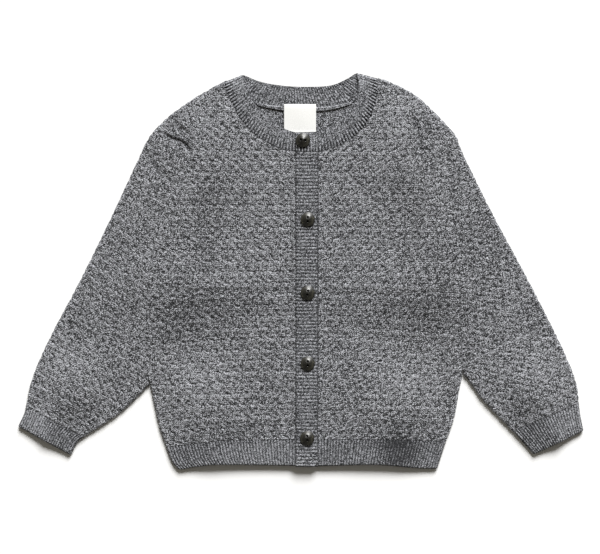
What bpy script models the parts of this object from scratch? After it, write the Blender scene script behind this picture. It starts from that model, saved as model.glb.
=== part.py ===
"""Baby cardigan in grey knit, buttoned up and laid flat on its back.

The frame is +X to the wearer's left, +Y to the neck and +Z up out of the front.
The origin is the bottom centre of the garment's box, so the back lies on Z = 0.
All sizes are metres.
"""
import math

import bpy
import numpy as np

# ---- Cloth ----
WALL = 0.0019             # thickness of the knitted cloth
SEAM = 0.0003             # clearance between pieces and between layers
FOLD_MID = (WALL + SEAM) / 2        # radius of the cloth's middle where it turns at a fold
FOLD_OUT = FOLD_MID + WALL / 2      # radius of its outer face there
FOLD_Z = WALL + SEAM / 2            # height of the fold's axis, half way up the two layers
SIDE_SEAM_ANGLE = math.radians(8)   # where a panel stops at the side seam
FRONT, BACK = 1, -1

# ---- Middle of the front ----
MID_X = 0.0048            # the buttons' line
BAND_WIDTH = 0.0180
BAND_IN_X = MID_X - BAND_WIDTH / 2      # seam of the buttonhole band
BAND_OUT_X = MID_X + BAND_WIDTH / 2     # its free edge, over the button band's seam
UNDER_EDGE_X = BAND_IN_X + 0.0032       # free edge of the button band, hidden underneath
BAND_TOP_Y = 0.0957
BAND_BOTTOM_Y = -0.1560
BAND_CORNER = 0.0050
STEP_UP = WALL + SEAM     # how far the right front climbs onto the button band
STEP_START_X = BAND_IN_X - 0.0046
STEP_END_X = UNDER_EDGE_X - 0.0004

# ---- Folds of the silhouette: x, y ----
SHOULDER_RIGHT = (        # neck peak, shoulder, outer edge of the sleeve, corner of the cuff
    (-0.0465, 0.1574), (-0.0584, 0.1532), (-0.0782, 0.1428), (-0.0966, 0.1308), (-0.1078, 0.1220),
    (-0.1166, 0.1132), (-0.1230, 0.1044), (-0.1302, 0.0892), (-0.1518, 0.0428), (-0.1766, -0.0076),
    (-0.1962, -0.0444), (-0.2090, -0.0710), (-0.2158, -0.0892), (-0.2196, -0.1076), (-0.2212, -0.1140),
    (-0.2260, -0.1239),
)
UNDERARM_RIGHT = (        # armpit, underside of the sleeve, corner of the cuff
    (-0.1206, -0.0905), (-0.1454, -0.1140), (-0.1730, -0.1322), (-0.1788, -0.1370), (-0.1838, -0.1468),
)
SIDE_RIGHT = (            # armpit, side seam, corner of the hem
    (-0.1206, -0.0905), (-0.1182, -0.1010), (-0.1134, -0.1228), (-0.1076, -0.1406), (-0.1030, -0.1524),
    (-0.0974, -0.1588),
)
SHOULDER_LEFT = (
    (0.0446, 0.1588), (0.0594, 0.1556), (0.0730, 0.1508), (0.0914, 0.1412), (0.1066, 0.1276),
    (0.1234, 0.1092), (0.1298, 0.0940), (0.1522, 0.0484), (0.1818, -0.0068), (0.2014, -0.0452),
    (0.2122, -0.0680), (0.2198, -0.0876), (0.2221, -0.1020), (0.2234, -0.1140), (0.2260, -0.1276),
)
UNDERARM_LEFT = (
    (0.1295, -0.0815), (0.1378, -0.0924), (0.1466, -0.1044), (0.1690, -0.1276), (0.1802, -0.1396),
    (0.1862, -0.1464),
)
SIDE_LEFT = (
    (0.1295, -0.0815), (0.1272, -0.0924), (0.1226, -0.1172), (0.1163, -0.1358), (0.1090, -0.1578),
)

# ---- Seams: x, y ----
ARMHOLE_RIGHT = (         # tip of the shoulder down to the armpit
    (-0.0926, 0.1337), (-0.0882, 0.1190), (-0.0868, 0.0960), (-0.0906, 0.0800), (-0.0974, 0.0620),
    (-0.1078, 0.0268), (-0.1166, 0.0120), (-0.1214, -0.0068), (-0.1232, -0.0260), (-0.1232, -0.0760),
    (-0.1206, -0.0905),
)
ARMHOLE_LEFT = (
    (0.0858, 0.1445), (0.0890, 0.1290), (0.0906, 0.1050), (0.0930, 0.0850), (0.1042, 0.0508),
    (0.1194, 0.0188), (0.1250, 0.0060), (0.1274, -0.0080), (0.1280, -0.0560), (0.1295, -0.0815),
)
NECK_SEWN_RIGHT = (       # neckband to the right front: shoulder down to the buttonhole band
    (-0.0614, 0.1520), (-0.0592, 0.1430), (-0.0550, 0.1348), (-0.0478, 0.1212), (-0.0374, 0.1100),
    (-0.0246, 0.1016), (-0.0118, 0.0968), (BAND_IN_X, BAND_TOP_Y),
)
NECK_SEWN_LEFT = (
    (0.0614, 0.1550), (0.0606, 0.1380), (0.0554, 0.1236), (0.0462, 0.1108), (0.0322, 0.1012),
    (0.0210, 0.0970), (BAND_OUT_X, BAND_TOP_Y),
)
NECK_FREE_RIGHT = (       # its free edge: neck peak down to the middle
    (-0.0465, 0.1574), (-0.0438, 0.1492), (-0.0401, 0.1396), (-0.0302, 0.1268), (-0.0142, 0.1148),
    (BAND_IN_X, 0.1110),
)
NECK_FREE_LEFT = (
    (0.0446, 0.1588), (0.0458, 0.1452), (0.0418, 0.1330), (0.0278, 0.1192), (BAND_OUT_X, 0.1116),
)
NECK_SEWN_BACK = (
    (-0.0614, 0.1520), (-0.0500, 0.1416), (-0.0374, 0.1348), (-0.0166, 0.1305), (0.0048, 0.1298),
    (0.0240, 0.1308), (0.0434, 0.1360), (0.0540, 0.1440), (0.0614, 0.1550),
)
NECK_FREE_BACK = (
    (-0.0465, 0.1574), (-0.0318, 0.1516), (-0.0134, 0.1484), (0.0048, 0.1476), (0.0234, 0.1486),
    (0.0354, 0.1532), (0.0446, 0.1588),
)
CUFF_LINE_RIGHT = ((-0.2196, -0.1076), (-0.1940, -0.1206), (-0.1730, -0.1322))
CUFF_LIP_RIGHT = ((-0.2260, -0.1239), (-0.2050, -0.1358), (-0.1838, -0.1468))
CUFF_LINE_LEFT = ((0.2223, -0.1052), (0.1960, -0.1160), (0.1690, -0.1276))
CUFF_LIP_LEFT = ((0.2260, -0.1276), (0.2080, -0.1376), (0.1862, -0.1464))
HEM_LINE_RIGHT = ((-0.1076, -0.1406), (-0.0806, -0.1372), (-0.0542, -0.1348), (BAND_IN_X, -0.1344))
HEM_EDGE_RIGHT = ((-0.0974, -0.1588), (-0.0820, -0.1560), (-0.0614, -0.1545), (BAND_IN_X, -0.1553))
HEM_LINE_LEFT = ((0.1163, -0.1358), (0.0700, -0.1344), (BAND_OUT_X, -0.1340))
HEM_EDGE_LEFT = ((0.1090, -0.1578), (0.0914, -0.1572), (0.0602, -0.1546), (BAND_OUT_X, -0.1556))

# ---- Straight runs that each line is drawn with; pieces that share a seam share them ----
SHOULDER_RUNS = 3
NECK_RUNS = 7
NECK_BACK_RUNS = 10
ARMHOLE_RUNS = 10
SIDE_RUNS = 4
RIB_RUNS = 2
SLEEVE_RUNS = 10
BAND_RUNS = 12
BAND_ACROSS = 6
UNDER_ACROSS = 5
NECKBAND_ACROSS = 4

# ---- How the front stands off the back ----
AIR = 0.0014              # springy gap between the two layers, away from the folds
AIR_REACH = 0.030         # distance from a fold over which it opens
WAVES = (                 # centre x, centre y, half width, half length, turn in degrees, height
    (-0.085, -0.060, 0.060, 0.020, 0, -0.0010),     # shallow trough across the belly
    (0.090, -0.060, 0.060, 0.020, 0, -0.0010),
    (-0.092, -0.010, 0.042, 0.020, 0, 0.0034),      # roll across the waist, above it
    (0.096, -0.013, 0.042, 0.020, 0, 0.0034),
    (-0.082, -0.106, 0.034, 0.024, 0, 0.0030),      # fullness above the hem
    (0.086, -0.106, 0.034, 0.024, 0, 0.0030),
    (-0.075, 0.085, 0.030, 0.032, 0, 0.0026),       # chest
    (0.080, 0.085, 0.028, 0.032, 0, 0.0026),
    (-0.080, -0.156, 0.030, 0.016, 0, 0.0014),      # lifted lip of the hem
    (0.058, -0.156, 0.026, 0.016, 0, 0.0014),
    (-0.187, -0.092, 0.024, 0.026, 28, 0.0034),     # fullness above the cuffs
    (0.186, -0.094, 0.022, 0.026, -28, 0.0030),
    (-0.205, -0.137, 0.022, 0.012, 28, 0.0014),     # lips of the cuffs, standing open
    (0.207, -0.139, 0.022, 0.012, -28, 0.0028),
    (-0.097, 0.105, 0.006, 0.016, 35, -0.0011),     # gathered crease at the right sleeve's head
    (0.096, 0.110, 0.008, 0.018, -10, -0.0009),     # hollow at the left sleeve's head
)

# ---- Small parts ----
BUTTON_RADIUS = 0.0057
BUTTON_HEIGHT = 0.0036
BUTTON_RIM = 0.0012       # height of its widest part
BUTTON_FOOT = 0.0049      # radius of its flat underside
BUTTON_HOLE_RADIUS = 0.0008
BUTTON_HOLE_SPACING = 0.0030
BUTTON_SIDES = 20
BUTTON_HOLE_SIDES = 10
BUTTON_CUT = 0.020        # length of the cutter for a hole
BUTTON_SINK = 0.0002      # extra clearance left under a button
BUTTONS = (               # x, y and turn in degrees, from the neckband down
    (0.0018, 0.1048, 80), (0.0056, 0.0416, 0), (0.0056, -0.0170, -12), (0.0056, -0.0732, 0),
    (0.0052, -0.1327, 4),
)
SEAM_ROLL = 0.0011        # radius of the linked seam inside the back neck
SEAM_ROLL_END = 0.35      # its thinnest part, at the ends, as a share of that
SEAM_ROLL_POINTS = 17
SEAM_ROLL_FROM, SEAM_ROLL_TO = -0.0350, 0.0412      # its ends in x
LABEL_X = -0.0006
LABEL_WIDTH = 0.0256
LABEL_THICKNESS = 0.0004
LABEL_TOP_Y = 0.1336
LABEL_BOTTOM_Y = 0.1080
LABEL_HOLD = 0.0046       # run of the label over the seam's ridge
LABEL_FALL = 0.0070       # run over which it comes down to the back

GREY = (0.17, 0.172, 0.18, 1.0)
GREY_RIB = (0.18, 0.182, 0.19, 1.0)
WHITE = (0.82, 0.82, 0.80, 1.0)
HORN = (0.03, 0.028, 0.024, 1.0)


# ---- Lines in the plan: rows of x, y and the direction there ----
def at(line, fractions):
    """Rows of a line at fractions of its length."""
    steps = np.linalg.norm(np.diff(line[:, :2], axis=0), axis=1)
    along = np.concatenate([[0], np.cumsum(steps)]) / steps.sum()
    return np.stack([np.interp(fractions, along, column) for column in line.T], axis=-1)


def directed(points):
    """A line's points with its unit direction at each."""
    way = np.gradient(points, axis=0)
    return np.hstack([points, way / np.linalg.norm(way, axis=1)[:, None]])


def smooth(points, runs=150):
    """A Catmull-Rom curve through the given points, as evenly long straight runs."""
    p = np.array(points, float)
    ends = np.vstack([2 * p[0] - p[1], p, 2 * p[-1] - p[-2]])
    t = np.linspace(0, 1, 16, endpoint=False)[:, None]
    arcs = []
    for a, b, c, d in zip(ends, ends[1:], ends[2:], ends[3:]):
        cubic = 3 * b - a - 3 * c + d
        arcs.append(0.5 * (2 * b + (c - a) * t + (2 * a - 5 * b + 4 * c - d) * t ** 2 + cubic * t ** 3))
    return at(directed(np.vstack(arcs + [p[-1:]])), np.linspace(0, 1, runs + 1))


def stretch(points, start, end, runs):
    """The part of a curve between the places nearest to two points."""
    fine = smooth(points, 2000)
    i, j = (np.linalg.norm(fine[:, :2] - np.array(p)[:2], axis=1).argmin() for p in (start, end))
    if i > j:
        fine, i, j = fine[::-1] * (1, 1, -1, -1), len(fine) - 1 - i, len(fine) - 1 - j
    return at(fine[i:j + 1], np.linspace(0, 1, runs + 1))


def straight(start, end, runs):
    return at(directed(np.array([start[:2], end[:2]], float)), np.linspace(0, 1, runs + 1))


class Edge:
    """One side of a piece, as runs of fold or seam; the cloth's middle keeps inside each."""

    def __init__(self, *runs):
        line, keep = runs[0][0].copy(), np.full(len(runs[0][0]), runs[0][1])
        for more, inset in runs[1:]:
            line[-1, 2:] += more[0, 2:]
            keep[-1] = max(keep[-1], inset)
            line, keep = np.vstack([line, more[1:]]), np.append(keep, np.full(len(more) - 1, inset))
        self.line = line[:, :2]
        self.keep = keep
        normal = np.stack([-line[:, 3], line[:, 2]], axis=-1)
        self.normal = normal / np.linalg.norm(normal, axis=1)[:, None]

    def face(self, middle):
        """Turn the edge's normals towards the middle of the piece."""
        half = len(self.line) // 2
        if np.dot(self.normal[half], middle - self.line[half]) < 0:
            self.normal = -self.normal

    def moved(self, extra):
        """The edge brought in by its clearance and an extra distance."""
        return self.normal * (self.keep + extra)[:, None]


def fold(line):
    return line, WALL / 2


def seam(line):
    return line, SEAM / 2


# ---- The cloth's height anywhere in the plan ----
FOLDS = [smooth(line)[:, :2] for line in (SHOULDER_RIGHT, UNDERARM_RIGHT, SIDE_RIGHT,
                                          SHOULDER_LEFT, UNDERARM_LEFT, SIDE_LEFT)]


def nearest_fold(plan):
    """Distance from each plan point to the nearest fold, and the direction to it."""
    flat = plan.reshape(-1, 2)
    each = np.arange(len(flat))
    best = np.full(len(flat), np.inf)
    foot = np.zeros_like(flat)
    for line in FOLDS:
        start, run = line[:-1], np.diff(line, axis=0)
        t = ((flat[:, None] - start) * run).sum(axis=2) / (run * run).sum(axis=1)
        nearest = start + np.clip(t, 0, 1)[..., None] * run
        distance = np.linalg.norm(nearest - flat[:, None], axis=2)
        k = distance.argmin(axis=1)
        closer = distance[each, k] < best
        best[closer] = distance[each, k][closer]
        foot[closer] = nearest[each, k][closer]
    out = (foot - flat) / best[:, None]
    return best.reshape(plan.shape[:-1]), out.reshape(plan.shape)


def ease(t):
    t = np.clip(t, 0, 1)
    return t * t * (3 - 2 * t)


def swell(plan, distance):
    """How far the front stands above its flat place."""
    x, y = plan[..., 0], plan[..., 1]
    height = np.full(x.shape, AIR)
    for centre_x, centre_y, half_x, half_y, turn, rise in WAVES:
        c, s = math.cos(math.radians(turn)), math.sin(math.radians(turn))
        u = (c * (x - centre_x) + s * (y - centre_y)) / half_x
        v = (c * (y - centre_y) - s * (x - centre_x)) / half_y
        height += rise * np.exp(-u * u - v * v)
    return height * ease((distance - FOLD_OUT) / AIR_REACH)


def lay(plan, side, seamed=False, over=False):
    """Middle of the cloth and its normal at plan points of the front or back layer."""
    distance, out = nearest_fold(plan)
    cosine = np.clip((FOLD_OUT - distance) / FOLD_MID, 0, math.cos(SIDE_SEAM_ANGLE if seamed else 0))
    sine = np.sqrt(1 - cosine ** 2)
    normal = np.concatenate([out * cosine[..., None], (side * sine)[..., None]], axis=-1)
    z = FOLD_Z + side * FOLD_MID * sine + np.where(side > 0, swell(plan, distance), 0)
    if over:
        z = z + STEP_UP * ease((plan[..., 0] - STEP_START_X) / (STEP_END_X - STEP_START_X))
    return np.concatenate([plan, z[..., None]], axis=-1), normal


# ---- Grids of plan points ----
TURNS = (0.0, (1 - math.cos(math.radians(45))) * FOLD_MID, FOLD_MID)    # stations across a fold


def stations(runs, fold_start, fold_end):
    """Index of each station along an edge, and how far it lies inside a folded end."""
    first = [(0, t) for t in (TURNS if fold_start else TURNS[:1])]
    last = [(runs, t) for t in (TURNS[::-1] if fold_end else TURNS[:1])]
    listed = first + [(k, 0.0) for k in range(1, runs)] + last
    return np.array([k for k, _ in listed]), np.array([t for _, t in listed])


def patch(top, bottom, start, end, folds=""):
    """Plan points of a four-sided piece: rows run from start to end, columns from top to bottom."""
    corners = [top.line[0], top.line[-1], bottom.line[0], bottom.line[-1]]
    for edge in (top, bottom, start, end):
        edge.face(sum(corners) / 4)
    across, down = len(top.line) - 1, len(start.line) - 1
    column, in_column = stations(across, "start" in folds, "end" in folds)
    row, in_row = stations(down, "top" in folds, False)
    u = (column / across)[None, :, None]
    v = (row / down)[:, None, None]
    grid = (1 - v) * top.line[column] + v * bottom.line[column]
    grid = grid + (1 - u) * start.line[row][:, None] + u * end.line[row][:, None]
    grid -= (1 - v) * ((1 - u) * corners[0] + u * corners[1]) + v * ((1 - u) * corners[2] + u * corners[3])
    for j in np.flatnonzero(column == 0):
        grid[:, j] += start.moved(in_column[j])[row]
    for j in np.flatnonzero(column == across):
        grid[:, j] += end.moved(in_column[j])[row]
    for i in np.flatnonzero(row == 0):
        grid[i] += top.moved(in_row[i])[column]
    grid[-1] += bottom.moved(0)[column]
    return grid


# ---- Solids ----
def finish(name, colour, roughness):
    mat = bpy.data.materials.new(name + "_finish")
    mat.use_nodes = True
    shader = mat.node_tree.nodes["Principled BSDF"]
    shader.inputs["Base Color"].default_value = colour
    shader.inputs["Roughness"].default_value = roughness
    shader.inputs["Metallic"].default_value = 0.0
    return mat


def add_object(name, data, colour, roughness=0.9):
    obj = bpy.data.objects.new(name, data)
    cardigan.objects.link(obj)
    data.materials.append(finish(name, colour, roughness))
    return obj


def wall(name, middle, normal, colour, thickness=WALL, tube=False):
    """A closed wall of cloth round a grid of middle points; a tube's rows are rings."""
    rows, columns = middle.shape[:2]
    inside = rows * columns
    number = np.arange(inside).reshape(rows, columns)
    if tube:
        number = np.concatenate([number, number[:, :1]], axis=1)
    corners = (number[:-1, :-1], number[1:, :-1], number[1:, 1:], number[:-1, 1:])
    quads = np.stack([c.ravel() for c in corners], axis=1)
    i, j = rows // 2, columns // 4
    facing = np.cross(middle[i, j] - middle[i - 1, j], middle[i, j + 1] - middle[i, j])
    if np.dot(facing, normal[i, j]) < 0:
        quads = quads[:, ::-1]
    faces = quads.tolist() + (quads[:, ::-1] + inside).tolist()
    edges = {(quad[k], quad[(k + 1) % 4]) for quad in quads.tolist() for k in range(4)}
    faces += [[q, p, p + inside, q + inside] for p, q in sorted(edges) if (q, p) not in edges]
    points = np.concatenate([middle + normal * thickness / 2, middle - normal * thickness / 2])
    mesh = bpy.data.meshes.new(name)
    mesh.from_pydata(points.reshape(-1, 3).tolist(), [], faces)
    mesh.shade_smooth()
    mesh.set_sharp_from_angle(angle=math.radians(50))
    return add_object(name, mesh, colour)


# ---- Start from an empty scene ----
for old in list(bpy.data.objects):
    bpy.data.objects.remove(old, do_unlink=True)
cardigan = bpy.data.collections.new("baby_cardigan")
bpy.context.scene.collection.children.link(cardigan)
cutters = bpy.data.collections.new("cutters")
bpy.context.scene.collection.children.link(cutters)


# ---- Fronts, sleeves, cuffs and front hems ----
def armhole_seam(armhole, shoulder):
    """The armhole's runs, begun exactly on the shoulder's fold."""
    tip = stretch(shoulder, armhole[0], shoulder[-1], 1)[0, :2]
    return smooth([tip] + list(armhole[1:]), ARMHOLE_RUNS)


def build_side(side, shoulder, underarm, side_fold, armhole, neck, cuff_line, cuff_lip,
               hem_line, hem_edge, over):
    """The front, its hem rib, the sleeve and the cuff of one side."""
    across_front = SHOULDER_RUNS + NECK_RUNS
    neck_point, centre_top = neck[0], neck[-1]
    armhole_line = armhole_seam(armhole, shoulder)
    hem_top = smooth(hem_line, across_front)
    hem_bottom = smooth(hem_edge, across_front)

    top = Edge(fold(stretch(shoulder, armhole[0], neck_point, SHOULDER_RUNS)), seam(smooth(neck, NECK_RUNS)))
    start = Edge(seam(armhole_line), fold(stretch(side_fold, armhole[-1], hem_line[0], SIDE_RUNS)))
    end = Edge(seam(straight(centre_top, hem_line[-1], ARMHOLE_RUNS + SIDE_RUNS)))
    plan = patch(top, Edge(seam(hem_top)), start, end, "start top")
    wall("front_" + side, *lay(plan, FRONT, seamed=True, over=over), GREY)

    start = Edge(fold(stretch(side_fold, hem_line[0], hem_edge[0], RIB_RUNS)))
    end = Edge(seam(straight(hem_line[-1], hem_edge[-1], RIB_RUNS)))
    plan = patch(Edge(seam(hem_top)), Edge(seam(hem_bottom)), start, end, "start")
    wall("hem_front_" + side, *lay(plan, FRONT, seamed=True, over=over), GREY_RIB)

    # Flattened tubes: each ring runs over the front and returns under the back.
    cuff_top, cuff_bottom = smooth(cuff_line, ARMHOLE_RUNS), smooth(cuff_lip, ARMHOLE_RUNS)
    for name, first, last, runs, colour in (("sleeve_", armhole_line, cuff_top, SLEEVE_RUNS, GREY),
                                            ("cuff_", cuff_top, cuff_bottom, RIB_RUNS, GREY_RIB)):
        start = Edge(fold(stretch(shoulder, first[0], last[0], runs)))
        end = Edge(fold(stretch(underarm, first[-1], last[-1], runs)))
        plan = patch(Edge(seam(first)), Edge(seam(last)), start, end, "start end")
        ring = np.concatenate([plan, plan[:, -2:0:-1]], axis=1)
        layer = np.concatenate([np.full(plan.shape[1], FRONT), np.full(plan.shape[1] - 2, BACK)])
        wall(name + side, *lay(ring, np.broadcast_to(layer, ring.shape[:2])), colour, tube=True)


build_side("right", SHOULDER_RIGHT, UNDERARM_RIGHT, SIDE_RIGHT, ARMHOLE_RIGHT, NECK_SEWN_RIGHT,
           CUFF_LINE_RIGHT, CUFF_LIP_RIGHT, HEM_LINE_RIGHT, HEM_EDGE_RIGHT, over=True)
build_side("left", SHOULDER_LEFT, UNDERARM_LEFT, SIDE_LEFT, ARMHOLE_LEFT, NECK_SEWN_LEFT,
           CUFF_LINE_LEFT, CUFF_LIP_LEFT, HEM_LINE_LEFT, HEM_EDGE_LEFT, over=False)


# ---- Back and its hem ----
def build_back():
    """The back panel and its hem rib, under the fronts."""
    across = 2 * SHOULDER_RUNS + NECK_BACK_RUNS
    hem_top = smooth(HEM_LINE_RIGHT + HEM_LINE_LEFT[::-1], across)
    hem_bottom = smooth(HEM_EDGE_RIGHT + HEM_EDGE_LEFT[::-1], across)
    top = Edge(fold(stretch(SHOULDER_RIGHT, ARMHOLE_RIGHT[0], NECK_SEWN_BACK[0], SHOULDER_RUNS)),
               seam(smooth(NECK_SEWN_BACK, NECK_BACK_RUNS)),
               fold(stretch(SHOULDER_LEFT, NECK_SEWN_BACK[-1], ARMHOLE_LEFT[0], SHOULDER_RUNS)))
    start, end = (Edge(seam(armhole_seam(armhole, shoulder)), fold(stretch(side, side[0], hem[0], SIDE_RUNS)))
                  for armhole, shoulder, side, hem in
                  ((ARMHOLE_RIGHT, SHOULDER_RIGHT, SIDE_RIGHT, HEM_LINE_RIGHT),
                   (ARMHOLE_LEFT, SHOULDER_LEFT, SIDE_LEFT, HEM_LINE_LEFT)))
    plan = patch(top, Edge(seam(hem_top)), start, end, "start end top")
    wall("back_panel", *lay(plan, BACK, seamed=True), GREY)

    start, end = (Edge(fold(stretch(side, line[0], edge[0], RIB_RUNS)))
                  for side, line, edge in ((SIDE_RIGHT, HEM_LINE_RIGHT, HEM_EDGE_RIGHT),
                                           (SIDE_LEFT, HEM_LINE_LEFT, HEM_EDGE_LEFT)))
    plan = patch(Edge(seam(hem_top)), Edge(seam(hem_bottom)), start, end, "start end")
    wall("hem_back", *lay(plan, BACK, seamed=True), GREY_RIB)


build_back()


# ---- Neckband: one strip round the neck, turned over at both neck peaks ----
def build_neckband():
    """Rungs from the sewn to the free edge, from the upper end round the back to the lower end."""
    across = np.linspace(0, 1, NECKBAND_ACROSS + 1)[:, None]

    def rung(sewn, free):
        reach = free - sewn
        first = sewn + reach / np.linalg.norm(reach) * SEAM / 2
        return first + across * (free - first)

    def ladder(sewn, free, runs):
        """Rungs along a stretch, without the ones at its folded ends."""
        return [rung(s[:2], f[:2]) for s, f in zip(smooth(sewn, runs), smooth(free, runs))][1:]

    def turned(sewn, free, runs, order):
        """Rungs beside a fold, along the edges that leave it, brought in by the sizes of the turn."""
        sewn, free = smooth(sewn, runs)[:2, :2], smooth(free, runs)[:2, :2]
        along = (free[0] - sewn[0]) / np.linalg.norm(free[0] - sewn[0])
        ways = [(line[1] - line[0]) / np.linalg.norm(line[1] - line[0]) for line in (sewn, free)]
        slant = abs(along[0] * ways[0][1] - along[1] * ways[0][0])
        return [rung(sewn[0] + ways[0] * (WALL / 2 + t) / slant, free[0] + ways[1] * (WALL / 2 + t))
                for t in order]

    def middle(inner_x, outer_x, runs):
        """Rungs across the bands, where the two ends lie over each other."""
        x = np.linspace(inner_x, outer_x, runs + 1)[1:]
        free_y = np.interp(x, [BAND_IN_X, BAND_OUT_X], [NECK_FREE_RIGHT[-1][1], NECK_FREE_LEFT[-1][1]])
        return [rung(np.array([s, BAND_TOP_Y]), np.array([s, y])) for s, y in zip(x, free_y)]

    right = NECK_SEWN_RIGHT, NECK_FREE_RIGHT, NECK_RUNS
    left = NECK_SEWN_LEFT, NECK_FREE_LEFT, NECK_RUNS
    behind = NECK_SEWN_BACK, NECK_FREE_BACK, NECK_BACK_RUNS
    over = turned(*right, TURNS[1:]) + ladder(*right) + middle(BAND_IN_X, BAND_OUT_X, BAND_ACROSS)
    back = turned(*behind, TURNS) + ladder(*behind)[:-1]
    back += turned(NECK_SEWN_BACK[::-1], NECK_FREE_BACK[::-1], NECK_BACK_RUNS, TURNS[::-1])
    under = turned(*left, TURNS[1:]) + ladder(*left) + middle(BAND_OUT_X, UNDER_EDGE_X, UNDER_ACROSS)
    laid = [lay(np.array(over[::-1]), FRONT, over=True), lay(np.array(back), BACK),
            lay(np.array(under), FRONT)]
    wall("neckband", *(np.concatenate(part) for part in zip(*laid)), GREY_RIB)


build_neckband()


# ---- Bands down the middle ----
def build_band(name, left_x, right_x, columns, over):
    """A ribbed band with the bottom corner of its free edge rounded."""
    turn = np.linspace(0, math.pi / 2, 4)[1:]
    y = np.concatenate([np.linspace(BAND_TOP_Y - SEAM / 2, BAND_BOTTOM_Y + BAND_CORNER, BAND_RUNS),
                        BAND_BOTTOM_Y + BAND_CORNER * (1 - np.sin(turn))])
    trim = np.concatenate([np.zeros(BAND_RUNS), BAND_CORNER * (1 - np.cos(turn))])
    start = left_x + (0 if over else 1) * trim
    end = right_x - (1 if over else 0) * trim
    x = start[:, None] + np.linspace(0, 1, columns + 1) * (end - start)[:, None]
    plan = np.stack([x, np.broadcast_to(y[:, None], x.shape)], axis=-1)
    wall(name, *lay(plan, FRONT, over=over), GREY_RIB)


build_band("buttonhole_band", BAND_IN_X + SEAM / 2, BAND_OUT_X, BAND_ACROSS, over=True)
build_band("button_band", UNDER_EDGE_X, BAND_OUT_X - SEAM / 2, UNDER_ACROSS, over=False)


# ---- Linked seam and label inside the back of the neck ----
def build_seam_roll():
    """A soft round ridge along the back neck seam, drawn out thin at its ends."""
    line = smooth(NECK_SEWN_BACK)[:, :2]
    line = line[(line[:, 0] > SEAM_ROLL_FROM) & (line[:, 0] < SEAM_ROLL_TO)]
    stops = np.linspace(0, 1, SEAM_ROLL_POINTS)
    curve = bpy.data.curves.new("back_neck_seam", "CURVE")
    curve.dimensions = "3D"
    curve.bevel_depth = SEAM_ROLL
    curve.bevel_resolution = 1
    curve.use_fill_caps = True
    spline = curve.splines.new("POLY")
    spline.points.add(len(stops) - 1)
    for point, (x, y), along in zip(spline.points, at(line, stops), stops):
        point.radius = SEAM_ROLL_END + (1 - SEAM_ROLL_END) * max(0, math.sin(math.pi * along)) ** 0.5
        point.co = (x, y, WALL + SEAM + SEAM_ROLL * point.radius, 1)
    add_object("back_neck_seam", curve, GREY_RIB)


def build_label():
    """A bare woven tab that starts over the seam's ridge and comes down to lie on the back."""
    x = np.linspace(LABEL_X - LABEL_WIDTH / 2, LABEL_X + LABEL_WIDTH / 2, 5)
    rest = WALL + SEAM + LABEL_THICKNESS / 2
    high = rest + 2 * SEAM_ROLL + SEAM
    falling = LABEL_TOP_Y - LABEL_HOLD - LABEL_FALL * np.linspace(0, 1, 6)
    y = np.concatenate([[LABEL_TOP_Y], falling, [LABEL_BOTTOM_Y]])
    z = high + (rest - high) * ease((LABEL_TOP_Y - LABEL_HOLD - y) / LABEL_FALL)
    grid = np.stack(np.broadcast_arrays(x[None, :], y[:, None], z[:, None]), axis=-1)
    normal = np.stack([0 * z, -np.gradient(z, y), 1 + 0 * z], axis=-1)
    normal /= np.linalg.norm(normal, axis=1)[:, None]
    wall("label", grid, np.broadcast_to(normal[:, None], grid.shape), WHITE, LABEL_THICKNESS)


build_seam_roll()
build_label()


# ---- Buttons ----
def build_button(name, x, y, turn):
    """A domed disc turned about Z, with two holes in line, one above the other where turn is 0."""
    dome = [(BUTTON_RADIUS * math.sin(t), BUTTON_RIM + (BUTTON_HEIGHT - BUTTON_RIM) * math.cos(t))
            for t in np.linspace(0, math.pi / 2, 6)]
    profile = dome + [(BUTTON_FOOT, 0.0), (0.0, 0.0)]
    mesh = bpy.data.meshes.new(name)
    mesh.from_pydata([(r, 0, z) for r, z in profile], [(k, k + 1) for k in range(len(profile) - 1)], [])
    button = add_object(name, mesh, HORN, 0.25)
    screw = button.modifiers.new("turn", "SCREW")
    screw.steps = screw.render_steps = BUTTON_SIDES
    screw.use_merge_vertices = True
    screw.merge_threshold = 0.00001
    screw.use_smooth_shade = True
    middle, _ = lay(np.array([[x, y]]), FRONT, over=True)
    button.location = (x, y, middle[0, 2] + WALL / 2 + SEAM + BUTTON_SINK)
    for place, row in (("low", -0.5), ("high", 0.5)):
        bpy.ops.mesh.primitive_cylinder_add(vertices=BUTTON_HOLE_SIDES, radius=BUTTON_HOLE_RADIUS,
                                            depth=BUTTON_CUT, location=button.location)
        hole = bpy.context.object
        hole.location.x -= row * BUTTON_HOLE_SPACING * math.sin(math.radians(turn))
        hole.location.y += row * BUTTON_HOLE_SPACING * math.cos(math.radians(turn))
        hole.name = f"{name}_hole_{place}"
        hole.hide_render = True
        hole.display_type = "WIRE"
        for collection in list(hole.users_collection):
            collection.objects.unlink(hole)
        cutters.objects.link(hole)
        cut = button.modifiers.new(hole.name, "BOOLEAN")
        cut.operation = "DIFFERENCE"
        cut.solver = "EXACT"
        cut.object = hole


for number, (x, y, turn) in enumerate(BUTTONS, start=1):
    build_button(f"button_{number}", x, y, turn)
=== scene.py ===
import math

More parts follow.
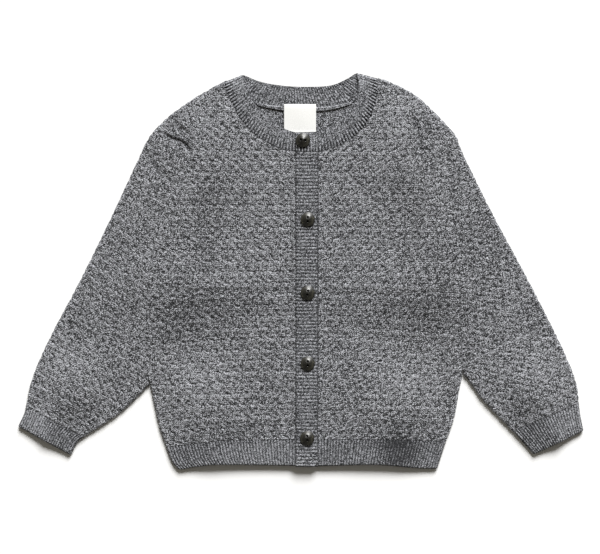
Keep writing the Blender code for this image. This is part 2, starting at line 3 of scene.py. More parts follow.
import bpy
import numpy as np
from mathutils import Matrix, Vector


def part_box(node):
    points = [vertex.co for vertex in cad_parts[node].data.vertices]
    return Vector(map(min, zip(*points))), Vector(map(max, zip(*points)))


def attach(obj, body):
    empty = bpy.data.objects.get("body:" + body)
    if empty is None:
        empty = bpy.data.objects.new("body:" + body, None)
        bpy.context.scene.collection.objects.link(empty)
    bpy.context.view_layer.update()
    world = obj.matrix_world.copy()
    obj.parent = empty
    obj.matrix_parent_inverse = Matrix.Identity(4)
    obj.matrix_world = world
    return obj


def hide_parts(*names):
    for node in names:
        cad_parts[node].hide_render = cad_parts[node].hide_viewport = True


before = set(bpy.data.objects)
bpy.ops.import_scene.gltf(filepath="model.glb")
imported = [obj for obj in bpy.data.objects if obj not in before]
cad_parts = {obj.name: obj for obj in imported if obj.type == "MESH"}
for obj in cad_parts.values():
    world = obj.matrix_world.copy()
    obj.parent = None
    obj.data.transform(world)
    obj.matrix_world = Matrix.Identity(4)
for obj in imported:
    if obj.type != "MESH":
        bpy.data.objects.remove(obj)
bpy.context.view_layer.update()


# ---- Table and light ----
# The cardigan lies on a white table top. One large soft light stands beyond the neck, low enough
# to rake over the knitting, and a pale room fills the shadows. The camera looks straight down.
VIEW_WIDTH = 0.4800                 # what the camera takes in across the table
VIEW_MIDDLE = (-0.0006, -0.0044)
CAMERA_HEIGHT = 2.4
SENSOR = 36.0                       # millimetres
LIGHT_TURN = math.radians(-13)      # from straight beyond the neck towards the wearer's left sleeve
LIGHT_HEIGHT = math.radians(36)     # above the table
LIGHT_SPREAD = math.radians(30)
LIGHT_POWER = 5.3
ROOM, ROOM_COLOUR = 0.14, (1, 0.94, 0.80)

bpy.context.scene.view_settings.view_transform = "Standard"
table_mesh = bpy.data.meshes.new("table")
table_mesh.from_pydata([(-4, -4, 0), (4, -4, 0), (4, 4, 0), (-4, 4, 0)], [], [(0, 1, 2, 3)])
table = bpy.data.objects.new("table", table_mesh)
bpy.context.scene.collection.objects.link(table)
table_finish = bpy.data.materials.new("table_top")
table_finish.use_nodes = True
table_top = table_finish.node_tree.nodes["Principled BSDF"]
table_top.inputs["Base Color"].default_value = (0.95, 0.95, 0.95, 1)
table_top.inputs["Roughness"].default_value = 0.95
table_mesh.materials.append(table_finish)

lamp = bpy.data.lights.new("window_light", "SUN")
lamp.energy = LIGHT_POWER
lamp.angle = LIGHT_SPREAD
window_light = bpy.data.objects.new("window_light", lamp)
window_light.rotation_euler = (-(math.pi / 2 - LIGHT_HEIGHT), 0, LIGHT_TURN)
bpy.context.scene.collection.objects.link(window_light)
room = bpy.data.worlds.new("room")
room.use_nodes = True
room.node_tree.nodes["Background"].inputs["Color"].default_value = (*ROOM_COLOUR, 1)
room.node_tree.nodes["Background"].inputs["Strength"].default_value = ROOM
bpy.context.scene.world = room

lens = bpy.data.cameras.new("camera")
lens.sensor_width = SENSOR
lens.lens = SENSOR * CAMERA_HEIGHT / VIEW_WIDTH
lens.clip_end = 20
camera = bpy.data.objects.new("camera", lens)
camera.location = (*VIEW_MIDDLE, CAMERA_HEIGHT)
bpy.context.scene.collection.objects.link(camera)
bpy.context.scene.camera = camera
bpy.context.scene.cycles.denoising_prefilter = "NONE"      # smoothing would rub out the yarn's flecks


# ---- Back panel ----
# The back is one knitted piece in a raised basket stitch. It lies flat on the table with its wrong
# side up, turns over at the shoulders and sides, and takes the neckband along its hollow neck.
WALL = 0.0019                       # thickness of the knitting
SEAM = 0.0003                       # clearance between pieces and layers
LINK = 0.0001                       # and between two edges that are linked together
FOLD_MID = (WALL + SEAM) / 2        # radius of the knitting's middle where it turns over
FOLD_OUT = FOLD_MID + WALL / 2
FOLD_Z = WALL + SEAM / 2
SIDE_SEAM_ANGLE = math.radians(8)   # where a panel stops at the side seam
FRONT, BACK = 1, -1
RIGHT, LEFT = "right", "left"        # of the wearer

SHOULDER_RIGHT = (                  # x, y from the neck's peak down the outer edge of the sleeve
    (-0.0465, 0.1574), (-0.0584, 0.1532), (-0.0782, 0.1428), (-0.0966, 0.1308), (-0.1078, 0.1220),
    (-0.1166, 0.1132), (-0.1230, 0.1044), (-0.1302, 0.0892), (-0.1518, 0.0428), (-0.1766, -0.0076),
    (-0.1962, -0.0444), (-0.2090, -0.0710), (-0.2158, -0.0892), (-0.2196, -0.1076), (-0.2212, -0.1140),
    (-0.2260, -0.1239),
)
SHOULDER_LEFT = (
    (0.0446, 0.1588), (0.0594, 0.1556), (0.0730, 0.1508), (0.0914, 0.1412), (0.1066, 0.1276),
    (0.1234, 0.1092), (0.1298, 0.0940), (0.1522, 0.0484), (0.1818, -0.0068), (0.2014, -0.0452),
    (0.2122, -0.0680), (0.2198, -0.0876), (0.2221, -0.1020), (0.2234, -0.1140), (0.2260, -0.1276),
)
SIDE_RIGHT = (                      # armpit, side seam, corner of the hem
    (-0.1206, -0.0905), (-0.1182, -0.1010), (-0.1134, -0.1228), (-0.1076, -0.1406), (-0.1030, -0.1524),
    (-0.0974, -0.1588),
)
SIDE_LEFT = (
    (0.1295, -0.0815), (0.1272, -0.0924), (0.1226, -0.1172), (0.1163, -0.1358), (0.1090, -0.1578),
)
ARMHOLE_RIGHT = (                   # tip of the shoulder down to the armpit
    (-0.0926, 0.1337), (-0.0882, 0.1190), (-0.0868, 0.0960), (-0.0906, 0.0800), (-0.0974, 0.0620),
    (-0.1078, 0.0268), (-0.1166, 0.0120), (-0.1214, -0.0068), (-0.1232, -0.0260), (-0.1232, -0.0760),
    (-0.1206, -0.0905),
)
ARMHOLE_LEFT = (
    (0.0858, 0.1445), (0.0890, 0.1290), (0.0906, 0.1050), (0.0930, 0.0850), (0.1042, 0.0508),
    (0.1194, 0.0188), (0.1250, 0.0060), (0.1274, -0.0080), (0.1280, -0.0560), (0.1295, -0.0815),
)
NECK_SEWN_BACK = (
    (-0.0614, 0.1520), (-0.0500, 0.1416), (-0.0374, 0.1348), (-0.0166, 0.1305), (0.0048, 0.1298),
    (0.0240, 0.1308), (0.0434, 0.1360), (0.0540, 0.1440), (0.0614, 0.1550),
)
MID_X = 0.0048                      # the line of the buttons
BAND_IN_X, BAND_OUT_X = -0.0042, 0.0138
HEM_LINE_RIGHT = ((-0.1076, -0.1406), (-0.0806, -0.1372), (-0.0542, -0.1348), (BAND_IN_X, -0.1344))
HEM_LINE_LEFT = ((0.1163, -0.1358), (0.0700, -0.1344), (BAND_OUT_X, -0.1340))

BASKET_WIDE = 0.00785               # one basket across, and one row of them down
BASKET_TALL = 0.0088
BASKET_DIP = 0.00065                # depth of the slack hollow between two baskets
BASKET_SLIT = 0.0005                # of the tight slit below each
BASKET_PAD = 0.00018                # rise of the pad under the slit
SLIT_LEAN = {RIGHT: 0.25, LEFT: -0.35}              # slope of the slit on each side, down to the right
DIP_UP = 0.36                       # place of the hollow above the slit, as a share of a row
BASKET_SWING = 0.25                 # a stitch is up to this share deeper or shallower than the mean
SLIT_SPREAD = (0.0024, 0.0008)      # half widths of the slit, across and down
DIP_SPREAD = (0.0019, 0.0015)       # and of the hollow
PADS = (                            # each pad's place above the slit, and its half widths
    (-0.0030, 0.0030, 0.0016),
    (0.0028, 0.0018, 0.0012),
)
STITCH_WIDE, STITCH_TALL = 0.0019, 0.0015           # one knitted loop
BACK_GRID = 0.0015                  # spacing of the mesh
CROWD = np.array([0, 0.11, 0.42, 0.89, 1.44]) / 1000      # closer lines beside every edge
EASE_IN = 0.0040                    # distance over which an edge's clearance fades out
SOFTEN = 6                          # points on either side over which an edge is smoothed
EDGE_POINTS = 800


def along(line, fractions):
    """Rows of a line's columns at fractions of its length."""
    steps = np.linalg.norm(np.diff(line[:, :2], axis=0), axis=1)
    length = np.concatenate([[0], np.cumsum(steps)]) / steps.sum()
    return np.stack([np.interp(fractions, length, column) for column in line.T], axis=-1)


def drawn(points, runs=400):
    """A soft curve through the given points."""
    p = np.array(points, float)
    ends = np.vstack([2 * p[0] - p[1], p, 2 * p[-1] - p[-2]])
    t = np.linspace(0, 1, 40, endpoint=False)[:, None]
    arcs = []
    for a, b, c, d in zip(ends, ends[1:], ends[2:], ends[3:]):
        cubic = 3 * b - a - 3 * c + d
        arcs.append(0.5 * (2 * b + (c - a) * t + (2 * a - 5 * b + 4 * c - d) * t ** 2 + cubic * t ** 3))
    return along(np.vstack(arcs + [p[-1:]]), np.linspace(0, 1, runs + 1))


def part_of(points, start, end):
    """The stretch of a curve between the places nearest to two points."""
    fine = drawn(points, 3000)
    i, j = (np.linalg.norm(fine - np.array(p), axis=1).argmin() for p in (start, end))
    return fine[i:j + 1] if i < j else fine[j:i + 1][::-1]


def edge(*runs):
    """A piece's edge from runs of (line, kind): rows of x, y, inward normal and clearance."""
    line = np.vstack([run for run, _ in runs])
    keep = np.concatenate([np.full(len(run), WALL / 2 if kind == "fold" else LINK / 2) for run, kind in runs])
    line = along(np.column_stack([line, keep]), np.linspace(0, 1, EDGE_POINTS))
    span = 2 * SOFTEN + 1
    around_it = np.pad(line[:, 2], SOFTEN, mode="edge")
    wide = np.max([around_it[k:k + len(line)] for k in range(span)], axis=0)
    keep = np.convolve(np.pad(wide, SOFTEN, mode="edge"), np.ones(span) / span, mode="valid")
    way = np.gradient(line[:, :2], axis=0)
    padded = np.pad(way, ((SOFTEN, SOFTEN), (0, 0)), mode="edge")
    way = sum(padded[k:k + len(line)] for k in range(span))
    way /= np.linalg.norm(way, axis=1)[:, None]
    return np.column_stack([line[:, :2], -way[:, 1], way[:, 0], keep])


def facing(line, middle):
    """The edge with its normals turned towards the middle of the piece."""
    half = len(line) // 2
    sign = np.sign(np.dot(line[half, 2:4], middle - line[half, :2]))
    return line * (1, 1, sign, sign, 1)


def steps(width, count):
    """Fractions across each width, even in the middle and crowded beside both ends."""
    width = np.atleast_1d(width)[:, None]
    close = CROWD * np.minimum(1, width / 0.008)
    even = np.linspace(0, 1, count)[1:-1]
    middle = close[:, -1:] + (width - 2 * close[:, -1:]) * even
    return np.concatenate([close, middle, width - close[:, ::-1]], axis=1) / width


def length(line):
    return np.linalg.norm(np.diff(line[:, :2], axis=0), axis=1).sum()


def apart(one, other, count):
    """Distances between two edges at even fractions of both."""
    shares = np.linspace(0, 1, count)
    return np.linalg.norm(along(one, shares)[:, :2] - along(other, shares)[:, :2], axis=1)


def patch(top, bottom, start, end, spacing, columns=None):
    """Plan points of a four-sided piece, with their distances from its start, end, top and bottom."""
    corners = [top[0, :2], top[-1, :2], bottom[0, :2], bottom[-1, :2]]
    top, bottom, start, end = (facing(line, sum(corners) / 4) for line in (top, bottom, start, end))
    columns = columns or int(max(length(top), length(bottom)) / spacing)
    rows = int(max(length(start), length(end)) / spacing)
    extra = 2 * len(CROWD) - 2
    width = apart(start, end, rows + extra)[:, None]
    height = apart(top, bottom, columns + extra)[None, :]
    u, v = steps(width[:, 0], columns), steps(height[0], rows).T
    a, b, c, d = along(start, v), along(end, v), along(top, u), along(bottom, u)
    uu, vv = u[..., None], v[..., None]
    grid = (1 - vv) * c[..., :2] + vv * d[..., :2] + (1 - uu) * a[..., :2] + uu * b[..., :2]
    above = (1 - uu) * corners[0] + uu * corners[1]
    below = (1 - uu) * corners[2] + uu * corners[3]
    grid -= (1 - vv) * above + vv * below
    inner = (u * width, (1 - u) * width, v * height, (1 - v) * height)
    for line, distance in zip((a, b, c, d), inner):
        grid += line[..., 2:4] * line[..., 4:5] * np.clip(1 - distance / EASE_IN, 0, 1)[..., None]
    return grid, inner


AIR = 0.0014                        # springy gap between the layers, away from the folds
AIR_REACH = 0.030
WAVES = (                           # centre x, centre y, half width, half length, turn in degrees, height
    (-0.085, -0.060, 0.060, 0.020, 0, -0.0010),     # shallow trough across the belly
    (0.090, -0.060, 0.060, 0.020, 0, -0.0010),
    (-0.092, -0.010, 0.042, 0.020, 0, 0.0034),      # roll across the waist, above it
    (0.096, -0.013, 0.042, 0.020, 0, 0.0034),
    (-0.082, -0.106, 0.034, 0.024, 0, 0.0030),      # fullness above the hem
    (0.086, -0.106, 0.034, 0.024, 0, 0.0030),
    (-0.075, 0.085, 0.030, 0.032, 0, 0.0026),       # chest
    (0.080, 0.085, 0.028, 0.032, 0, 0.0026),
    (-0.080, -0.156, 0.030, 0.016, 0, 0.0014),      # lifted lip of the hem
    (0.058, -0.156, 0.026, 0.016, 0, 0.0014),
    (-0.187, -0.092, 0.024, 0.026, 28, 0.0034),     # fullness above the cuffs
    (0.186, -0.094, 0.022, 0.026, -28, 0.0030),
    (-0.205, -0.137, 0.022, 0.012, 28, 0.0014),     # lips of the cuffs, standing open
    (0.207, -0.139, 0.022, 0.012, -28, 0.0028),
    (-0.097, 0.105, 0.006, 0.016, 35, -0.0011),     # gathered crease at the right sleeve's head
    (0.096, 0.110, 0.008, 0.018, -10, -0.0009),     # hollow at the left sleeve's head
)
STEP_UP = WALL + SEAM               # the right front climbs this far onto the button band
STEP_FROM_X, STEP_TO_X = -0.0088, -0.0014


def from_folds(plan, folds):
    """Distance from each plan point to the nearest of the folds, and the direction to it."""
    flat = plan.reshape(-1, 2)
    lines = [along(fold, np.linspace(0, 1, 121)) for fold in folds]
    start = np.vstack([line[:-1] for line in lines])
    run = np.vstack([np.diff(line, axis=0) for line in lines])
    feet = []
    for part in np.array_split(flat, 1 + len(flat) // 8000):
        t = ((part[:, None] - start) * run).sum(axis=2) / (run * run).sum(axis=1)
        near = start + np.clip(t, 0, 1)[..., None] * run
        k = np.linalg.norm(near - part[:, None], axis=2).argmin(axis=1)
        feet.append(near[np.arange(len(part)), k])
    out = np.vstack(feet) - flat
    distance = np.linalg.norm(out, axis=1)
    out /= distance[:, None]
    return distance.reshape(plan.shape[:-1]), out.reshape(plan.shape)


def ease(t):
    t = np.clip(t, 0, 1)
    return t * t * (3 - 2 * t)


def oval(place, centre_x, centre_y, half_x, half_y, turn):
    """How far out each point lies in a slanting oval, squared: 0 in its middle and 1 on its rim."""
    c, s = math.cos(math.radians(turn)), math.sin(math.radians(turn))
    x, y = place[..., 0] - centre_x, place[..., 1] - centre_y
    u, v = (c * x + s * y) / half_x, (c * y - s * x) / half_y
    return u * u + v * v


def loft(plan, distance):
    """How far the front stands above its flat place."""
    height = np.full(plan.shape[:-1], AIR)
    for *place, rise in WAVES:
        height += rise * np.exp(-oval(plan, *place))
    return height * ease((distance - FOLD_OUT) / AIR_REACH)


def lay(plan, side, folds, seamed=False, over=False):
    """Middle of the knitting and its normal at plan points of the front or the back."""
    distance, out = from_folds(plan, folds)
    cosine = np.clip((FOLD_OUT - distance) / FOLD_MID, 0, math.cos(SIDE_SEAM_ANGLE if seamed else 0))
    sine = np.sqrt(1 - cosine ** 2)
    normal = np.concatenate([out * cosine[..., None], (side * sine)[..., None]], axis=-1)
    z = FOLD_Z + side * FOLD_MID * sine + np.where(side > 0, loft(plan, distance), 0)
    if over:
        z = z + STEP_UP * ease((plan[..., 0] - STEP_FROM_X) / (STEP_TO_X - STEP_FROM_X))
    return np.concatenate([plan, z[..., None]], axis=-1), normal


def uneven(i, j):
    """A steady spread of numbers from -1 to 1, one for each place."""
    return 2 * np.modf(np.abs(np.sin(i * 12.9898 + j * 78.233) * 43758.5453))[0] - 1


def mound(across, down, half_across, half_down):
    """A round hump, 1 at its top."""
    return np.exp(-(across / half_across) ** 2 - (down / half_down) ** 2)


def basket(s, t, hand):
    """Relief of the basket stitch: hollows, slits and pads in rows, every other row half along."""
    height = np.zeros(np.broadcast(s, t).shape)
    row = np.round(t / BASKET_TALL)
    for k in (row - 1, row, row + 1):
        x = s / BASKET_WIDE + 0.5 * np.mod(k, 2)
        cx = (x - np.round(x)) * BASKET_WIDE
        dx = (x + 0.5 - np.round(x + 0.5)) * BASKET_WIDE
        cy = t - k * BASKET_TALL
        swing = 1 + BASKET_SWING * uneven(np.round(x), k)
        height -= BASKET_SLIT * swing * mound(cx, cy + SLIT_LEAN[hand] * cx, *SLIT_SPREAD)
        height -= BASKET_DIP * swing * mound(dx, cy - DIP_UP * BASKET_TALL, *DIP_SPREAD)
        for up, half_across, half_down in PADS:
            height += BASKET_PAD * mound(cx, cy - up, half_across, half_down)
    return height


def groove(distance, depth=0.0005, reach=0.0014):
    """How far an edge rounds down into its seam or over its lip."""
    share = np.clip(1 - distance / reach, 0, 1)
    return -depth * (1 - np.sqrt(1 - share * share))


def towards_fold(relief, normal, least=0.8):
    """The relief, gentler where the knitting turns over and is stretched."""
    return relief * (least + (1 - least) * np.abs(normal[..., 2]))


CREASE_END = 0.006                  # distance over which a crease runs out at both ends


def creased(plan, creases):
    """Depth of the sharp creases pressed into a piece: each a line of points, its width and its depth."""
    depth = np.zeros(plan.shape[:-1])
    for line, half_width, deep in creases:
        line = drawn(line, 40)
        away, _ = from_folds(plan, [line])
        to_ends = np.minimum(*(np.linalg.norm(plan - line[end], axis=-1) for end in (0, -1)))
        depth -= deep * np.exp(-(away / half_width) ** 2) * (0.4 + 0.6 * ease(to_ends / CREASE_END))
    return depth


# Soft patches of darker or paler tone. They are not wear: they stand in for slight
# folds, raised seams and soft shade that the mesh and the lamp don't give.
# The darker patches are painted shade and the paler ones painted light, laid into the yarn's colour.
LIGHT_AND_SHADE_PATCHES = (                    # centre x, y, half width, half length, turn in degrees, how much darker
    (-0.0940, -0.0330, 0.036, 0.020, 0, 0.60),      # below the waist's roll
    (0.0990, -0.0350, 0.036, 0.020, 0, 0.60),
    (-0.0430, -0.0270, 0.036, 0.014, 0, 0.56),
    (0.0450, -0.0290, 0.030, 0.014, 0, 0.46),
    (-0.0960, -0.0580, 0.040, 0.012, 0, 0.34),
    (0.0994, -0.0630, 0.030, 0.012, 0, 0.30),
    (-0.0870, 0.0108, 0.026, 0.020, 0, 0.46),       # above it, to the side seams
    (0.1060, 0.0040, 0.022, 0.022, 0, 0.50),
    (-0.0550, -0.1260, 0.046, 0.012, 0, 0.42),      # above the hem
    (0.0640, -0.1260, 0.046, 0.012, 0, 0.34),
    (-0.0720, 0.0500, 0.013, 0.034, -6, 0.44),      # beside the armholes
    (0.0830, 0.0560, 0.014, 0.034, 12, 0.42),
    (-0.0950, 0.1030, 0.015, 0.016, 0, 0.40),       # sleeve heads
    (-0.1100, 0.0760, 0.018, 0.008, -40, 0.18),
    (0.0974, 0.1020, 0.012, 0.018, 0, 0.44),
    (0.1090, 0.0900, 0.014, 0.030, 20, 0.12),
    (0.1290, 0.0700, 0.010, 0.012, 20, 0.28),
    (-0.1790, -0.1120, 0.018, 0.014, -20, 0.54),    # above the cuffs
    (0.1790, -0.1130, 0.014, 0.016, 30, 0.36),
    (0.0790, -0.1400, 0.015, 0.019, 0, 0.80),       # left end of the hem
    (-0.0310, -0.0900, 0.022, 0.030, 0, 0.32),      # beside the bands
    (0.0364, -0.0910, 0.019, 0.028, 0, 0.36),
    (0.1170, -0.1000, 0.006, 0.026, 10, 0.44),
    (-0.1430, -0.0500, 0.016, 0.034, 0, 0.18),      # inside of the arm
    (0.1340, -0.0500, 0.012, 0.040, 0, 0.20),
    (0.1460, 0.0180, 0.024, 0.040, 26, 0.46),       # upper arm
    (-0.1520, 0.0050, 0.024, 0.030, -26, 0.20),
    (-0.1740, -0.0380, 0.014, 0.018, -26, 0.26),    # elbow
    (0.1930, -0.0340, 0.015, 0.018, 26, 0.30),
    (-0.0780, -0.0860, 0.022, 0.022, 0, -0.22),     # paler: belly, forearms, shoulders and hem
    (0.0874, -0.0820, 0.022, 0.022, 0, -0.24),
    (-0.1910, -0.0740, 0.018, 0.022, 0, -0.34),
    (0.1880, -0.0700, 0.018, 0.018, 0, -0.12),
    (0.0800, 0.1210, 0.009, 0.020, 20, -0.36),
    (-0.0820, 0.1200, 0.010, 0.014, -30, -0.30),
    (-0.0860, 0.0750, 0.008, 0.020, -23, -0.26),
    (-0.0310, -0.1450, 0.028, 0.014, 0, -0.26),
    (-0.0850, -0.1150, 0.012, 0.010, 0, -0.20),
    (0.1190, -0.0070, 0.010, 0.012, 0, 0.30),       # by the left side seam
    (0.0790, 0.0140, 0.014, 0.012, 0, 0.24),
    (0.1790, -0.0380, 0.012, 0.016, 26, 0.24),
    (-0.0860, 0.1330, 0.034, 0.007, 37, -0.44),     # paler along the shoulders
    (0.0900, 0.1370, 0.036, 0.007, -35, -0.52),
    (-0.0500, 0.1530, 0.010, 0.010, 0, -0.36),      # and at the corners of the neck
    (0.0500, 0.1550, 0.014, 0.010, 0, -0.52),
    (-0.2130, -0.1180, 0.014, 0.014, 0, -0.50),     # corners of the cuffs
    (0.2150, -0.1200, 0.012, 0.014, 0, -0.44),
    (-0.1026, 0.0590, 0.006, 0.046, -23, -0.20),    # along the armhole seams
    (0.1090, 0.0590, 0.006, 0.046, 23, -0.20),
)


def painted_patch_shade(middle, normal):
    """How much darker each point of the cardigan's face is painted by the patches: painted shade, and painted
    light where less than nothing.
    """
    amount = np.zeros(middle.shape[:-1])
    for *place, dark in LIGHT_AND_SHADE_PATCHES:
        amount += dark * np.exp(-oval(middle, *place) ** 1.5)
    return amount * np.clip(normal[..., 2], 0, 1)


# The yarn is painted darker where the knitting's relief sinks and paler where it stands up: painted shade in
# the hollows and painted light on the crests.
HOLLOW = 0.0024                     # depth at which basket knitting would look darkest
RIB_HOLLOW = 0.00064                # and a valley between ribs
PALEST, DARKEST = -0.4, 1.5         # the least and the most that a depth counts, as shares of those


def as_piece(name, points, faces, mark, values, places=None):
    """A smooth mesh with a marked value at each point and, for knitting, its place in the rows."""
    mesh = bpy.data.meshes.new(name)
    mesh.from_pydata(points.tolist(), [], faces)
    mesh.shade_smooth()
    if places is not None:
        corner = np.empty(len(mesh.loops), dtype=np.int32)
        mesh.loops.foreach_get("vertex_index", corner)
        stitches = mesh.uv_layers.new(name="stitches")
        stitches.uv.foreach_set("vector", places[corner].astype(np.float32).ravel())
    marked = mesh.attributes.new(mark, "FLOAT", "POINT")
    marked.data.foreach_set("value", values.astype(np.float32).ravel())
    piece = bpy.data.objects.new(name, mesh)
    bpy.context.scene.collection.objects.link(piece)
    return piece


def shell(name, middle, normal, outer, inner, uv, rows_kept=None, columns_kept=None, hollow_shade=HOLLOW):
    """A closed wall of knitting: a finely worked outer face, and an inner one on the rows kept."""
    rows, columns = middle.shape[:2]
    keep_r = np.unique(np.append(np.arange(0, rows, 4) if rows_kept is None else rows_kept, (0, rows - 1)))
    keep_c = np.unique(np.append(np.arange(0, columns, 4) if columns_kept is None else columns_kept,
                                 (0, columns - 1)))
    out = middle + normal * (WALL / 2 + outer)[..., None]
    back = (middle - normal * (WALL / 2 + inner)[..., None])[np.ix_(keep_r, keep_c)]
    number = np.arange(rows * columns).reshape(rows, columns)
    under = rows * columns + np.arange(len(keep_r) * len(keep_c)).reshape(len(keep_r), len(keep_c))

    def quads(grid):
        return np.stack([grid[:-1, :-1], grid[1:, :-1], grid[1:, 1:], grid[:-1, 1:]], axis=-1).reshape(-1, 4)

    i, j = rows // 2, columns // 2
    turn = np.cross(middle[i + 1, j] - middle[i, j], middle[i, j + 1] - middle[i, j])
    flip = np.dot(turn, normal[i, j]) < 0
    faces = (quads(number)[:, ::-1] if flip else quads(number)).tolist()
    faces += (quads(under) if flip else quads(under)[:, ::-1]).tolist()
    rims = ((number[0], under[0], keep_c, True), (number[-1], under[-1], keep_c, False),
            (number[:, 0], under[:, 0], keep_r, False), (number[:, -1], under[:, -1], keep_r, True))
    for fine, coarse, kept, way in rims:
        for k, (a, b) in enumerate(zip(kept[:-1], kept[1:])):
            ring = [*fine[a:b + 1].tolist(), int(coarse[k + 1]), int(coarse[k])]
            faces.append(ring if way != flip else ring[::-1])
    points = np.concatenate([out.reshape(-1, 3), back.reshape(-1, 3)])
    places = np.concatenate([uv.reshape(-1, 2), uv[np.ix_(keep_r, keep_c)].reshape(-1, 2)])
    depth = np.concatenate([-outer.ravel(), -inner[np.ix_(keep_r, keep_c)].ravel()])
    # painted shade where the faces sink and painted light where they stand up, with the patches' painted
    # light and shade added on the outer face
    painted_light_and_shade = np.clip(depth / hollow_shade, PALEST, DARKEST)
    painted_light_and_shade[:rows * columns] += painted_patch_shade(middle, normal).ravel()
    return as_piece(name, points, faces, "hollow_shade", painted_light_and_shade, places)


def maths(tree, operation, *values):
    """A Math node with its values linked or set; gives its result."""
    node = tree.nodes.new("ShaderNodeMath")
    node.operation = operation
    for socket, value in zip(node.inputs, values):
        if isinstance(value, bpy.types.NodeSocket):
            tree.links.new(value, socket)
        else:
            socket.default_value = value
    return node.outputs[0]


def node_group(name, inputs, outputs):
    """A shader group with named sockets, and the nodes that its inside starts and ends with."""
    tree = bpy.data.node_groups.new(name, "ShaderNodeTree")
    for label, kind in inputs:
        tree.interface.new_socket(label, in_out="INPUT", socket_type=kind)
    for label, kind in outputs:
        tree.interface.new_socket(label, in_out="OUTPUT", socket_type=kind)
    return tree, tree.nodes.new("NodeGroupInput").outputs, tree.nodes.new("NodeGroupOutput").inputs


CLOUD_SHARE, LOOP_SHARE = 0.3, 0.45                 # how much of the yarn's mix follows drifts, and the loops as painted light and shade
DARK_SHARE, HOLLOW_SHADE_SHARE = 0.18, 0.60               # dark fibre everywhere, and painted shade in the hollows


def melange():
    """Grey mixed yarn: dark and pale fibres spun together, in flecks about a third of a stitch across."""
    tree, given, result = node_group(
        "melange yarn",
        [("Place", "NodeSocketVector"), ("Dark", "NodeSocketColor"), ("Pale", "NodeSocketColor"),
         ("Flecks", "NodeSocketFloat"), ("Contrast", "NodeSocketFloat"), ("Hollow", "NodeSocketFloat"),
         ("Loop", "NodeSocketFloat")],
        [("Color", "NodeSocketColor")])
    fleck = tree.nodes.new("ShaderNodeTexVoronoi")
    tree.links.new(given["Place"], fleck.inputs["Vector"])
    tree.links.new(given["Flecks"], fleck.inputs["Scale"])
    parts = tree.nodes.new("ShaderNodeSeparateColor")
    tree.links.new(fleck.outputs["Color"], parts.inputs["Color"])
    cloud = tree.nodes.new("ShaderNodeTexNoise")
    tree.links.new(given["Place"], cloud.inputs["Vector"])
    tree.links.new(maths(tree, "MULTIPLY", given["Flecks"], 0.2), cloud.inputs["Scale"])
    cloud.inputs["Detail"].default_value = 4
    share = maths(tree, "MULTIPLY", maths(tree, "SUBTRACT", parts.outputs[0], 0.5), given["Contrast"])
    share = maths(tree, "ADD", share, maths(tree, "MULTIPLY", cloud.outputs["Fac"], CLOUD_SHARE))
    # The loops paint light on their strands and shade between them.
    share = maths(tree, "ADD", share, maths(tree, "MULTIPLY", given["Loop"], LOOP_SHARE))
    share = maths(tree, "SUBTRACT", share, DARK_SHARE)
    # painted shade in the hollows and slits, from the mesh's marks and the stitch
    share = maths(tree, "SUBTRACT", share, maths(tree, "MULTIPLY", given["Hollow"], HOLLOW_SHADE_SHARE))
    yarn = tree.nodes.new("ShaderNodeMix")
    yarn.data_type = "RGBA"
    tree.links.new(share, yarn.inputs["Factor"])
    tree.links.new(given["Dark"], yarn.inputs["A"])
    tree.links.new(given["Pale"], yarn.inputs["B"])
    tint = tree.nodes.new("ShaderNodeHueSaturation")
    tree.links.new(yarn.outputs["Result"], tint.inputs["Color"])
    tree.links.new(maths(tree, "ADD", maths(tree, "MULTIPLY", parts.outputs[1], 0.10), 0.45),
                   tint.inputs["Hue"])
    tree.links.new(tint.outputs["Color"], result["Color"])
    return tree


def loops():
    """Rows of knitted loops, each a V of two strands, as a height."""
    tree, given, result = node_group(
        "knitted loops",
        [("Place", "NodeSocketVector"), ("Wide", "NodeSocketFloat"), ("Tall", "NodeSocketFloat")],
        [("Height", "NodeSocketFloat")])
    place = tree.nodes.new("ShaderNodeSeparateXYZ")
    tree.links.new(given["Place"], place.inputs["Vector"])
    across = maths(tree, "DIVIDE", place.outputs["X"], given["Wide"])
    side = maths(tree, "ABSOLUTE", maths(tree, "SUBTRACT", maths(tree, "FRACT", across), 0.5))
    slack = tree.nodes.new("ShaderNodeTexNoise")
    tree.links.new(given["Place"], slack.inputs["Vector"])
    slack.inputs["Scale"].default_value = 260
    up = maths(tree, "ADD", maths(tree, "DIVIDE", place.outputs["Y"], given["Tall"]),
               maths(tree, "MULTIPLY", side, -1.3))
    up = maths(tree, "ADD", up, maths(tree, "MULTIPLY", slack.outputs["Fac"], 1.6))
    round_up = maths(tree, "SINE", maths(tree, "MULTIPLY", maths(tree, "FRACT", up), math.pi))
    round_out = maths(tree, "SINE", maths(tree, "MULTIPLY", maths(tree, "FRACT", maths(
        tree, "MULTIPLY", across, 2.0)), math.pi))
    strand = maths(tree, "POWER", round_up, 0.6)
    height = maths(tree, "MULTIPLY", strand, maths(tree, "POWER", round_out, 0.6))
    tree.links.new(height, result["Height"])
    return tree


CROWN_UP, PAD_DOWN = 0.30, 0.26     # crown above the slit and pad below it, as shares of a row
SLIT_SPOT, DIP_SPOT = (0.29, 0.075), (0.23, 0.15)   # half widths as shares of a stitch and a row
CROWN_SPOT, PAD_SPOT = (0.20, 0.13), (0.32, 0.16)
# How much painted shade falls in each slit and hollow, and how much painted light on each crown and pad:
SLIT_DARK, DIP_DARK, CROWN_PALE, PAD_PALE = 0.80, 0.70, 0.52, 0.12


